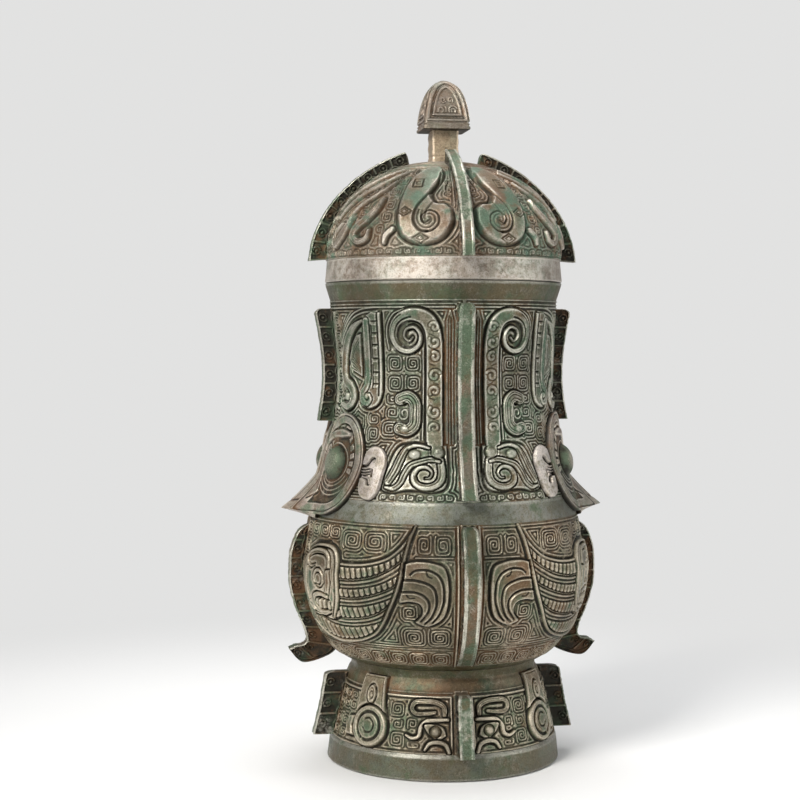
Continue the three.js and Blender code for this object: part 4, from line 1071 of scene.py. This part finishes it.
# The lid's band is given full pale, partly its own worn face and partly a painted highlight, and its edges are set
# lighter: rubbed bronze with a painted highlight.
lid_wall = turned("lid_wall", [[0.4, DOME_TOP - WALL]] + lid_inner
                  + [[spigot - WALL, DOME - 2], [spigot - WALL, LID - 9.6], [spigot - WALL + 0.5, LID - 10],
                     [spigot - 0.5, LID - 10], [spigot, LID - 9.5], [spigot, LID], [62.5, LID]]
                  + lid_outer + [[10, DOME_TOP], [0.4, DOME_TOP]], wavy=0.1,
                  ridge=[(0, 999, 0.5), (LID + 10.6, LID + 12.2, 0.8), (LID, LID + 1, 0.75)],
                  pale=[(LID, LID + 12.4, 1.0), (DOME_TOP - 1, 999, 0.7)], warm=[(LID, LID + 12.4, 0.15)])
dress(lid_wall, LIDDED, "lid", "lid_bronze", "lid_shell")
print("walls ready")

# %% [markdown]
# Each flange is a flat upright bar with rounded corners. On its two broad faces a rim, cross
# bars and a wavy inner line stand round sunk blocks with curls; its narrow face is slightly
# hollow between two ragged rims. A side flange of the belly ends in a hook like a tail. A bar
# is one strip of rows round its section, and how far a point lies from the edge gives its relief.

# %% Flanges
LANES, FACE = 26, 13
BLOCK = 9.8
ROW_STEP = 0.4


def side_pattern(s, e, w):
    """How deep a broad face is sunk, s up the bar and e in from its edge."""
    count = np.maximum(1, np.round(s.max() / BLOCK))
    size = s.max() / count
    c = (s / size) % 1 * size - size / 2
    block = ease((e - 0.95) / 0.35) * ease((w - e - 0.2) / 0.4)
    block = block * (1 - stripe(np.abs(c) - size / 2, 0.75, 0.35) * ease((w - 2.4 - e) / 0.4))
    inner = np.abs(e - (w - 2.1 + 0.45 * np.sin(s * 0.9)))
    block = block * (1 - 0.85 * ease((0.6 - inner) / 0.35))
    ring = np.hypot(c, e - 3.7)
    curl = stripe(ring - 2.0, 0.5, 0.35) * (1 - stripe(c + 0.4, 0.8, 0.3) * (e > 3.7))
    block = block * (1 - 0.9 * curl) * (1 - 0.9 * ease((0.85 - ring) / 0.3))
    return 0.95 * block


def bar(name, inner, outer, thick, angle, limit, peak, seed, pale=0.4, warm=0.3):
    w = np.hypot(*(outer - inner).T)
    heading = (outer - inner) / np.maximum(w, 0.01)[:, None]
    s = np.concatenate([[0], np.cumsum(np.hypot(*np.diff((inner + outer) / 2, axis=0).T))])
    half = np.full(len(w), thick / 2)
    near_top = np.clip(1 - (s[-1] - s) / max(peak, 0.1), 0, 1)
    half = half * np.sqrt(1 - 0.6 * near_top ** 2)
    w = w * (1 - 0.25 * near_top ** 3)
    rng = np.random.default_rng(seed)
    corner = np.minimum(1.0, w * 0.4)[:, None]
    w, half = w[:, None], half[:, None]
    f = np.linspace(0, 1, LANES)[None, :]
    x_side = f * (w - corner)
    sink = side_pattern(s[:, None], w - x_side, w) * ease(s[:, None] / 1.2) * ease((s[-1] - s)[:, None] / 1.2)
    y_side = half - sink
    q = np.linspace(0.25, math.pi / 2, 4)[None, :]
    x_bend, y_bend = w - corner + corner * np.sin(q), half - corner + corner * np.cos(q)
    g = np.linspace(1, -1, FACE)[None, 1:-1]
    nicks = blur(np.where(rng.random((len(s), 2)) > 0.8, -0.55, 0.0), 1)[:, :1]
    dent = 0.4 * ease((1 - np.abs(g)) * (half - corner) / 0.9)
    x_face = w - dent + nicks * (np.abs(g) > 0.7)
    y_face = g * (half - corner)
    x = np.hstack([x_side, x_bend + nicks, x_face, (x_bend + nicks)[:, ::-1], x_side[:, ::-1]])
    y = np.hstack([y_side, y_bend, y_face, -y_bend[:, ::-1], -y_side[:, ::-1]])
    rr = np.minimum(inner[:, :1] + x * heading[:, :1], limit)
    zz = inner[:, 1:] + x * heading[:, 1:]
    c, q = math.sin(angle), -math.cos(angle)
    pts = np.stack([rr * c - y * q, rr * q + y * c, zz], -1)
    first = x_side.shape[1] + x_bend.shape[1]
    # The broad faces are painted darker than the narrow one, and darker still in their sunk blocks: painted shade
    # with dark patina. Their outer strip, the bends and the narrow face's rims are lighter: rubbed bronze with a
    # painted highlight.
    wear_side = 0.45 - 0.4 * sink + 0.2 * ease((x_side - w + 2.2) / 0.8) * (sink < 0.3)
    wear_face = np.where(np.abs(g) > 0.74, 0.95, 0.5) + 0 * x_face
    wear_bend = 0.75 + 0 * x_bend
    ridge = np.hstack([wear_side, wear_bend, wear_face, wear_bend, wear_side[:, ::-1]])
    green = np.full(x.shape, 0.4)
    green[:, first:first + x_face.shape[1]] = 0.68
    return tube(name, pts, ridge=ridge, green=green, pale=pale, warm=warm)


def upright(skin, z0, z1, reach):
    """Inner and outer edge of a bar whose outer edge keeps level with its inner one."""
    z = np.linspace(z0, z1, int((z1 - z0) / ROW_STEP))
    r = skin.radius(z)
    far = np.interp(z, *np.array(reach).T)
    return np.stack([r - 1.2, z], 1), np.stack([r + far, z], 1)


def farthest(node):
    low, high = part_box(node)
    return max(abs(low[0]), abs(low[1]), abs(high[0]), abs(high[1])) / MM


SIDES = {"front": 0.0, "right": math.pi / 2, "back": math.pi, "left": -math.pi / 2}
tail_outer = [(73.5, 71), (77.4, 68), (79.7, 64.5), (82.2, 57.6), (83, 49), (82.8, 38.8), (80.4, 28.5),
    (77.8, 21.5), (75.2, 15.5), (73.9, 9.4), (76.4, 7.0), (80, 6.6), (83.2, 4.9)]
tail_inner = [(71, 71), (72, 68), (73, 64.5), (73.6, 57.6), (74, 49), (72.6, 38.8), (68.8, 28.5), (65.4, 21.5),
              (61.4, 14), (57.4, 6.8), (62.4, 1.2), (75.6, -2.2), (82.6, 4.2)]


def tail():
    return [through(knots, 240)[::-1] + [0, BASE] for knots in (tail_inner, tail_outer)]


def dome_edge():
    v = np.linspace(LID_SKIN.along(LID + 12.2), np.interp(-18.5, -lid_profile[5:, 0], LID_SKIN.s[5:]), 150)
    t = np.linspace(0, 1, 150)
    r, z, nr, nz = LID_SKIN.at(v)
    far = 5.4 + 5 * (1 - t) ** 4 + 2.2 * t ** 4
    return [np.stack([r + off * nr, z + off * nz], 1) for off in (-1.2, far)]


def flange(part, side, shape, thick, peak, seed, body="vessel", **finish):
    node = f"{part}_flange_{side}"
    piece = bar(node + "_cast", *shape, thick, SIDES[side], farthest(node), peak, seed, **finish)
    return dress(piece, FLANGE, body, "green_bronze", node)


OWL_NECK = [(125, 9.2), (136, 8.4), (147, 7.9), (160, 8.0), (173, 8.7), (184, 9.8)]
PLAIN_NECK = [(89, 9.4), (100, 8.2), (147, 7.9), (173, 8.6), (186, 9.8)]
for k, side in enumerate(SIDES):
    owl = side in ("left", "right")
    low, high = heights(f"neck_flange_{side}")
    reach = [(BASE + z, far) for z, far in (OWL_NECK if owl else PLAIN_NECK)]
    flange("neck", side, upright(BODY_SKIN, low, high, reach), 8.4, 4.0, 10 + k)
    low, high = heights(f"belly_flange_{side}")
    reach = [(low, 4.8), (low + 6, 7.6), (low + 15, 8.6), (low + 53, 8.6), (high - 6, 7.4), (high, 4.6)]
    shape = tail() if owl else upright(BODY_SKIN, low, high, reach)
    flange("belly", side, shape, 8.4, 2.5, 20 + k, pale=0.1, warm=0.6)
    low, high = heights(f"foot_flange_{side}")
    reach = [(low, 11.2), (low + 15, 11), (high, 12.4)]
    flange("foot", side, upright(FOOT_SKIN, low + 0.4, high, reach), 7.6, 2.0, 30 + k)
    flange("lid", side, dome_edge(), 6.4, 1.5, 40 + k, body="lid")
print("flanges", 4 * len(SIDES))

# %% [markdown]
# The owl's face. Each eye is a round plate with a banded rim, a ring of beads and a domed
# pupil under a curled brow. The two plates of a side meet over a ridge and run down into
# the beak, so they are drawn as outlines round the pupil and laid over the beak's surface.
# Rings that follow the outline keep the rim and the beads even, where a square grid would step.

# %% Plates built round a centre
EYE_A, EYE_H = 68.5, 104.3
PUPIL = 8.8


class Plate:
    """A plate on the neck, drawn in millimetres from its centre: u toward the side flange, v up."""

    def __init__(self, a0, h0, outline, spokes, rings):
        self.a0 = math.radians(a0)
        self.v0 = float(BODY_SKIN.along(BASE + h0))
        self.r0 = float(BODY_SKIN.radius(BASE + h0))
        self.edge = through([*self.flat(outline), self.flat(outline)[0]], 240)[:-1]
        t = np.arctan2(self.edge[:, 1], self.edge[:, 0])
        order = np.argsort(t)
        self.t = np.linspace(-math.pi, math.pi, spokes, endpoint=False)
        reach = np.interp(self.t, t[order], np.hypot(*self.edge[order].T), period=2 * math.pi)
        k = np.linspace(0.01, 1, rings)[:, None]
        self.u, self.v = k * reach * np.cos(self.t), k * reach * np.sin(self.t)
        self.depth = depth_in(self.edge, self.u, self.v)

    def flat(self, points):
        p = np.array(points, float)
        around = (np.radians(p[:, 0]) - self.a0) * self.r0
        return np.stack([around, BODY_SKIN.along(BASE + p[:, 1]) - self.v0], 1)

    def line(self, points, width, count=40):
        return reach_of(through(self.flat(points), count), width, self.u, self.v)

    def build(self, name, quarter_name, h, over=None, **values):
        mirror, back = QUARTERS[quarter_name]
        u = np.vstack([self.u, self.u[-1:], self.u[-1:] * 0.98, self.u[-1:] * 0.5, self.u[:1]])
        v = np.vstack([self.v, self.v[-1:], self.v[-1:] * 0.98, self.v[-1:] * 0.5, self.v[:1]])
        tall = np.vstack([h, np.full((4, h.shape[1]), -0.4)])
        a = self.a0 + u / self.r0
        pts = BODY_SKIN.place(mirror * (math.pi - a if back else a), self.v0 + v, tall)
        if over is not None:
            x = mirror * pts[:len(h), :, 0]
            high = over(pts[:len(h), :, 1], pts[:len(h), :, 2] - BASE)
            pts[:len(h), :, 0] = mirror * 0.5 * (x + high + np.sqrt((x - high) ** 2 + 0.25))
        fill = np.zeros((4, h.shape[1]))
        spread = {k: np.vstack([np.broadcast_to(x, h.shape), fill]) for k, x in values.items()}
        return tube(name, pts, **spread)


print("eye centre", EYE_A, "degrees round and", EYE_H, "mm up the vessel")

# %% Beaks


def beak_reach(height):
    swell = np.clip((98 - height) / 18.5, 0, 1)
    under = np.clip((79.5 - height) / 4.2, 0, 1)
    fade = np.clip((124 - height) / 16.7, 0, 1)
    half = 4.5 + 15.5 * swell ** 0.9
    return half, (4.2 * np.sqrt(fade) + 12.5 * swell ** 1.25) * (1 - under)


def beak_over(y, height):
    """How far out the beak stands at a place beside the side flange's plane."""
    half, nose = beak_reach(height)
    f = np.clip(np.abs(y) / half, 0, 1)
    side = np.minimum(nose, 2.7)
    skin = np.interp(BASE + height, BODY_SKIN.p[:, 1], BODY_SKIN.p[:, 0])
    return np.sqrt(np.maximum(skin ** 2 - y ** 2, 1)) + side + (nose - side) * (1 - f ** 1.3)


def beak(side, sign):
    z = np.concatenate([np.linspace(75.4, 79.5, 16), np.linspace(79.9, 123.8, 120)])[:, None]
    around = 81
    f = np.linspace(-1, 1, around)[None, :]
    half, nose = beak_reach(z)
    y = f * half * 0.985
    x = beak_over(y, z)
    lines = 0.5 * bell(np.abs(y) - 2.4, 0.45) * ease((z - 83) / 4)
    band = 0.5 * bell(z - 83.4 - 0.16 * np.abs(y), 0.6)
    x = np.minimum(x - lines - band, farthest(f"beak_{side}"))
    inner = np.sqrt(BODY_SKIN.radius(BASE + z) ** 2 - half ** 2) - 1.0
    back_y = np.linspace(1, -1, 9)[None, 1:-1] * half * 0.9
    x = np.hstack([x, inner + 0 * back_y])
    y = np.hstack([y, back_y])
    pts = np.stack([sign * x, y, BASE + z + 0 * x], -1)
    # Engraved lines are set darker, dark patina with painted shade, and the crest lighter, rubbed bronze with a
    # painted highlight.
    ridge = np.hstack([0.62 - 0.9 * (lines + band) + 0.2 * bell(y[:, :around], 2), 0 * back_y])
    piece = tube(f"beak_{side}_cast", pts, ridge=ridge, pale=0.35, green=0.25, warm=0.3)
    return dress(piece, EYES, "vessel", "pale_bronze", f"beak_{side}")


beak("left", -1)
beak("right", 1)
print("beaks reach", round(farthest("beak_left"), 1), "and", round(farthest("beak_right"), 1), "mm out")

# %% Eye plates and ear pads
eye = Plate(EYE_A, EYE_H, [(49.3, 105), (50, 112.6), (52, 119.6), (55.2, 125.2), (60, 129), (66, 130.2),
    (72, 128.6), (77, 124.4), (81, 118), (83.4, 111), (84.4, 102), (84.8, 94), (85, 86), (84.6, 79.6),
    (82, 77.5), (76, 77.4), (70, 77.6), (64.6, 78.8), (59, 82.2), (53.6, 89.6), (50.4, 98)], 360, 84)


def eye_height():
    u, v, d = eye.u, eye.v, eye.depth
    rho, theta = np.hypot(u, v), np.arctan2(v, u)
    h = 2.75 + 0.35 * bell(d - 0.55, 0.45) - 0.45 * bell(d - 1.5, 0.35)
    h = h + 0.35 * bell(d - 3.4, 1.5)
    field = ease((d - 5.2) / 0.4)
    h = h - 1.4 * field
    cell = (theta / (2 * math.pi) * 21) % 1 - 0.5
    beads = stripe(cell, 0.36, 0.1) * stripe(d - 7.5, 1.6, 0.45)
    beads = beads * (1 - ease((-0.35 - v / np.maximum(rho, 1)) / 0.15))
    h = h + 1.7 * beads
    below = ease((-0.42 - v / np.maximum(rho, 1)) / 0.15)
    for r in (12.4, 14.8, 17.2):
        h = h + 0.7 * stripe(rho - r, 0.55, 0.35) * below * field
    around = 1 - below
    h = h + 0.7 * stripe(rho - 10.6, 0.5, 0.3) * np.maximum(around, 0.6)
    h = h - 0.6 * bell(rho - 9.4, 0.5)
    brow = eye.line([(60.4, 119.2), (66, 119.6), (73, 118.8), (79.6, 115.2), (82, 110)],
        [3.4, 5.4, 4.8, 4.0, 2.0])
    h = np.where(brow > -0.7, np.minimum(h, 1.7), h)
    h = np.where(brow > 0, 1.9 + 1.9 * ease(brow / 1.2), h)
    pupil = np.clip(1 - (rho / PUPIL) ** 2, 0, 1)
    h = np.where(rho < PUPIL, np.maximum(h, 1.4 + 6.0 * np.sqrt(pupil)), h)
    slit = eye.line([(76.5, 89.5), (79.5, 87.4), (82, 84.6)], [0.8, 1.6, 0.9])
    h = h - 1.0 * ease((slit + 0.2) / 0.5)
    near = h - blur(h, 2)
    smooth = np.maximum(1 - field, np.maximum(beads, brow > 0))
    ridge = np.clip(0.46 + 1.1 * near + 0.2 * beads - 0.12 * field, 0, 1)
    # The pupil is painted lighter at its middle and darker toward its rim: a painted highlight and painted shade
    # on the dome.
    return h, np.where(rho < PUPIL, 0.26 + 0.6 * pupil ** 1.5, ridge), smooth, (rho < PUPIL + 0.2) * 1.0


eye_h, eye_ridge, eye_smooth, eye_pupil = eye_height()

ear = Plate(43.5, 100.9, [(37, 109), (39.5, 113), (43.5, 114.3), (47.5, 112.5), (49.5, 108), (50, 100),
    (50, 93), (48.5, 89), (46, 87.3), (42, 87.3), (39, 91.5), (37.8, 100), (36.8, 105)], 160, 40)


def ear_height():
    h = 2.6 - 1.3 * ease((0.9 - ear.depth) / 0.9) + 0.3 * ease(ear.depth / 5)
    for line, width in (
            ([(43.3, 106.9), (44.4, 106.2), (45.6, 104.8), (47, 103.7), (50.4, 103.7)], [3.0, 2.8, 2.2, 1.6, 1.4]),
            ([(50.4, 98.6), (47.5, 98.3), (45.4, 97.4), (44.4, 95.4)], [1.6, 1.8, 2.2, 3.0]),
            ([(43.4, 98.8), (43.4, 101.8)], 1.3), ([(44.6, 102.4), (47.4, 101.8), (50, 102)], 0.7),
            ([(44.4, 101), (47.4, 100.4), (50, 100.6)], 0.7), ([(44.6, 99.6), (47.4, 99.2), (50, 99.4)], 0.7)):
        cutting = ear.line(line, width, 20)
        h = h - 1.9 * ease((cutting + 0.25) / 0.55)
    h = np.maximum(h, 0.5)
    return h, np.clip(0.55 + 0.8 * (h - blur(h, 2)), 0, 1)


ear_h, ear_ridge = ear_height()


def over_beak(y, height):
    return beak_over(y, height) + 0.25


for name in QUARTERS:
    piece = eye.build(f"eye_plate_{name}_cast", name, eye_h, over_beak, ridge=eye_ridge,
        pale=0.45 * eye_smooth * (1 - eye_pupil), green=0.35 + 0.3 * eye_pupil, warm=0.4 - 0.3 * eye_pupil)
    dress(piece, EYES, "vessel", "pale_bronze", f"eye_plate_{name}")
    piece = ear.build(f"ear_pad_{name}_cast", name, ear_h, ridge=ear_ridge, pale=1.0)
    dress(piece, EYES, "vessel", "pale_bronze", f"ear_pad_{name}")
print("owl faces ready")

# %% [markdown]
# The knob is a square post under a four-sided cap that narrows to a rounded point. Each face
# of the cap has two nested pointed frames with a beaded groove between, and curls inside. A
# bevelled box could make the post; rows of soft-cornered squares make both pieces alike.

# %% Knob


def square_ring(count):
    """Points round a square of half-width 1 with soft corners, and each one's place across its side."""
    t = np.linspace(0, 2 * math.pi, count, endpoint=False)
    c, s = np.cos(t), np.sin(t)
    round_off = (np.abs(c) ** 14 + np.abs(s) ** 14) ** (1 / 14)
    across = np.where(np.abs(c) >= np.abs(s), s, c) / np.maximum(np.abs(c), np.abs(s))
    return c / round_off, s / round_off, across


POST_HALF = 7.1
CAP_HALF = 12.4
CAP_RISE = 23.9


def knob():
    post_z, cap_z = heights("knob_post")[0], heights("knob_cap")[0]
    post_top = cap_z - 0.3
    z = np.concatenate([[post_z, post_z], np.linspace(post_z + 0.3, post_top - 0.3, 50), [post_top, post_top]])
    x, y, across = square_ring(120)
    half = np.full((len(z), 1), POST_HALF)
    half[[0, -1]] = POST_HALF - 0.6
    half = half - 0.14 * np.sin(z * 1.1)[:, None] * np.cos(np.arange(120) / 7)[None, :]
    half = half - 0.3 * bell(z[:, None] - post_z - 3.4, 0.5)
    pts = np.stack([half * x, half * y, z[:, None] + 0 * half], -1)
    low = ease((post_z + 7 - z[:, None]) / 3)
    # The post's corners are set lighter: rubbed bronze with a painted highlight.
    post = tube("knob_post_cast", pts, ridge=0.55 + 0.3 * (np.abs(across)[None, :] > 0.88) + 0 * half,
                pale=0.5 + 0.4 * low + 0 * half, warm=0.35 - 0.2 * low + 0 * half)
    dress(post, GOLDEN, "lid", "rubbed_bronze", "knob_post")

    rows = 110
    t = np.sin(np.linspace(0, 1, rows) * math.pi / 2)
    face = np.maximum(CAP_HALF * (1 - 0.42 * t ** 1.5) * np.sqrt(np.clip(1 - t ** 6, 0, 1)), 0.25)
    up = CAP_RISE * t
    zs = cap_z + np.concatenate([[0, 0, 0.3, 1.4, 1.8, 2.3, 2.7], 3 + up])
    half = np.concatenate([[3, 12.2, 12.7, 12.7, 12.1, 12.1, CAP_HALF], face])[:, None]
    x, y, across = square_ring(280)
    w = across[None, :] * half
    g = (zs - cap_z - 3)[:, None] + 0 * w
    border = np.vstack([np.stack([face, up], 1), np.stack([-face, up], 1)[::-1]])
    d = depth_in(border, w, g)
    relief = 0.7 * stripe(d - 1.7, 0.75, 0.4) + 0.7 * stripe(d - 4.5, 0.7, 0.4)
    dots = 0.5 + 0.5 * np.cos((np.abs(w) + g) * 2 * math.pi / 1.9)
    relief += 0.4 * dots * stripe(d - 3.1, 0.45, 0.3)
    relief -= 0.3 * stripe(d - 3.1, 0.8, 0.3)
    inside = d > 5.6
    for path in (coil(3.1, 6.6, 2.6, 2.8, 1.6, 2, 0.5, 1, 0.2), coil(-3.1, 6.6, 2.6, 2.8, 1.2, 3.4, 0.5, -1, 0.3),
                 coil(1.9, 12.4, 1.5, 1.7, 1.1, 2, -0.6, 1, 0.3),
                 coil(-1.9, 12.4, 1.5, 1.7, 1.1, 2, -0.6, -1, 0.3)):
        relief += 0.6 * ease((reach_of(path, 0.8, w, g) + 0.2) / 0.4) * inside
    relief = relief * (g > 0.2)
    hh = half + relief - 0.55 * (g > 0)
    pts = np.stack([hh * x, hh * y, zs[:, None] + 0 * hh], -1)
    near = relief - blur(relief, 2)
    ridge = np.where(g > 0, 0.44 + 0.6 * near + 0.2 * (np.abs(across)[None, :] > 0.94), 0.6)
    # The cap's underside is painted dark: painted shade under the cap.
    ridge[:2] = 0.15
    cap = tube("knob_cap_cast", pts, ridge=ridge, green=0.15, warm=0.25, pale=0.35 * (g > 0.2))
    dress(cap, LIDDED, "lid", "lid_bronze", "knob_cap")


knob()
print("knob ready")

# %% [markdown]
# The camera stands where the photograph's did: a little to the left of the front flange and
# just above the vessel's middle. A pale floor runs into a pale backdrop of the same colour,
# and large soft lights stand in front to the left, to the right and above. Away from the
# vessel the floor shows the camera one even colour, and near it takes its shadow.

# %% Camera


def looking(place, ahead):
    """The matrix of a thing that stands at a place in metres and looks straight ahead."""
    right = np.cross(ahead, [0, 0, 1])
    right /= np.linalg.norm(right)
    up = np.cross(right, ahead)
    return Matrix([[right[k], up[k], -ahead[k], place[k]] for k in range(3)] + [[0, 0, 0, 1]])


FOCAL = 1700.0
FRAME_PX = 800.0
SENSOR = 36
MM_PER_PX = 0.535
EYE_UP_PX = 417.5
ASIDE_PX, DOWN_PX = 43, 62
turn = math.radians(10.3)
distance = FOCAL * MM_PER_PX
eye_point = np.array([-math.sin(turn) * distance, -math.cos(turn) * distance, EYE_UP_PX * MM_PER_PX])
yaw = math.atan(ASIDE_PX / FOCAL)
pitch = math.atan(DOWN_PX / FOCAL)
facing = turn - yaw
ahead = np.array([math.sin(facing) * math.cos(pitch), math.cos(facing) * math.cos(pitch), -math.sin(pitch)])
camera_data = bpy.data.cameras.new("camera")
camera_data.sensor_width = SENSOR
camera_data.lens = FOCAL / FRAME_PX * SENSOR
camera_data.clip_start = 0.01
camera = bpy.data.objects.new("camera", camera_data)
camera.matrix_world = looking(eye_point * MM, ahead)
bpy.context.scene.collection.objects.link(camera)
bpy.context.scene.camera = camera
print("camera", [round(c * MM, 3) for c in eye_point])

# %% Floor and backdrop
GREY = (0.76, 0.76, 0.755, 1)
PALE = (0.82, 0.82, 0.815, 1)


def plain(name, fade):
    """A matt surface that, away from the object, shows the camera one even colour."""
    material = bpy.data.materials.new(name)
    material.use_nodes = True
    tree = material.node_tree
    shader = tree.nodes["Principled BSDF"]
    for socket, value in (("Base Color", PALE), ("Roughness", 0.9), ("Specular IOR Level", 0.1)):
        wire(tree, value, shader.inputs[socket])
    even = add(tree, "Emission", GREY)
    rays = add(tree, "LightPath")
    mix = add(tree, "MixShader")
    share = rays.outputs["Is Camera Ray"]
    if fade:
        place = add(tree, "TexCoord")
        size = add(tree, "VectorMath", place.outputs["Object"], operation="LENGTH")
        share = times(tree, share, ramp(tree, size.outputs["Value"], *fade))
    for socket, value in zip(mix.inputs, (share, shader.outputs[0], even.outputs[0])):
        wire(tree, value, socket)
    wire(tree, mix.outputs[0], tree.nodes["Material Output"].inputs[0])
    return material


circle = np.linspace(0, 2 * math.pi, 96, endpoint=False)


def bowl(name, radii, tall, material):
    pts = np.stack([np.outer(radii, np.cos(circle)), np.outer(radii, np.sin(circle)),
                    np.outer(tall, 0 * circle + 1)], -1)
    rows, cols = pts.shape[:2]
    ids = np.arange(rows * cols).reshape(rows, cols)
    quads = grid(closed(ids))
    mesh = bpy.data.meshes.new(name)
    mesh.from_pydata(pts.reshape(-1, 3).tolist(), [], quads.tolist())
    mesh.polygons.foreach_set("use_smooth", np.ones(len(mesh.polygons), bool))
    thing = bpy.data.objects.new(name, mesh)
    thing.data.materials.append(material)
    bpy.context.scene.collection.objects.link(thing)
    return thing


FLOOR_Z = -0.0003
bowl("floor", [0.0005, 0.5, 1.5, 3.0], [FLOOR_Z] * 4, plain("pale_floor", (0.12, 0.5)))
bend = np.linspace(0, math.pi / 2, 12)
backdrop = bowl("backdrop", np.concatenate([3 + 1.5 * np.sin(bend), [4.5, 4.5]]),
                np.concatenate([FLOOR_Z + 1.5 - 1.5 * np.cos(bend), [4, 7]]), plain("pale_backdrop", None))
backdrop.visible_diffuse = False
backdrop.visible_shadow = False
print("floor at", FLOOR_Z)

# %% Lights
MIDDLE = (0, 0, 0.17)
SKY, SKY_POWER = (0.95, 0.97, 1.0, 1), 0.4
world = bpy.data.worlds.new("studio")
bpy.context.scene.world = world
world.use_nodes = True
world.node_tree.nodes["Background"].inputs[0].default_value = SKY
world.node_tree.nodes["Background"].inputs[1].default_value = SKY_POWER


def soft_light(name, place, aim, size, power, colour=(1, 1, 1)):
    data = bpy.data.lights.new(name, "AREA")
    data.shape = "RECTANGLE"
    data.size, data.size_y = size
    data.energy = power
    data.color = colour
    lamp = bpy.data.objects.new(name, data)
    direction = np.array(aim) - np.array(place)
    direction = direction / np.linalg.norm(direction)
    lamp.matrix_world = looking(place, direction)
    bpy.context.scene.collection.objects.link(lamp)


soft_light("key", (-0.95, -1.0, 1.15), MIDDLE, (0.5, 0.5), 29, (1, 0.975, 0.94))
soft_light("side", (1.25, -0.5, 0.6), MIDDLE, (0.4, 0.8), 5.0, (1, 0.99, 0.97))
soft_light("top", (0.1, 0.3, 1.5), (0, 0, 0.2), (0.8, 0.8), 10)
bpy.context.scene.view_settings.view_transform = "Standard"
print("lights ready")
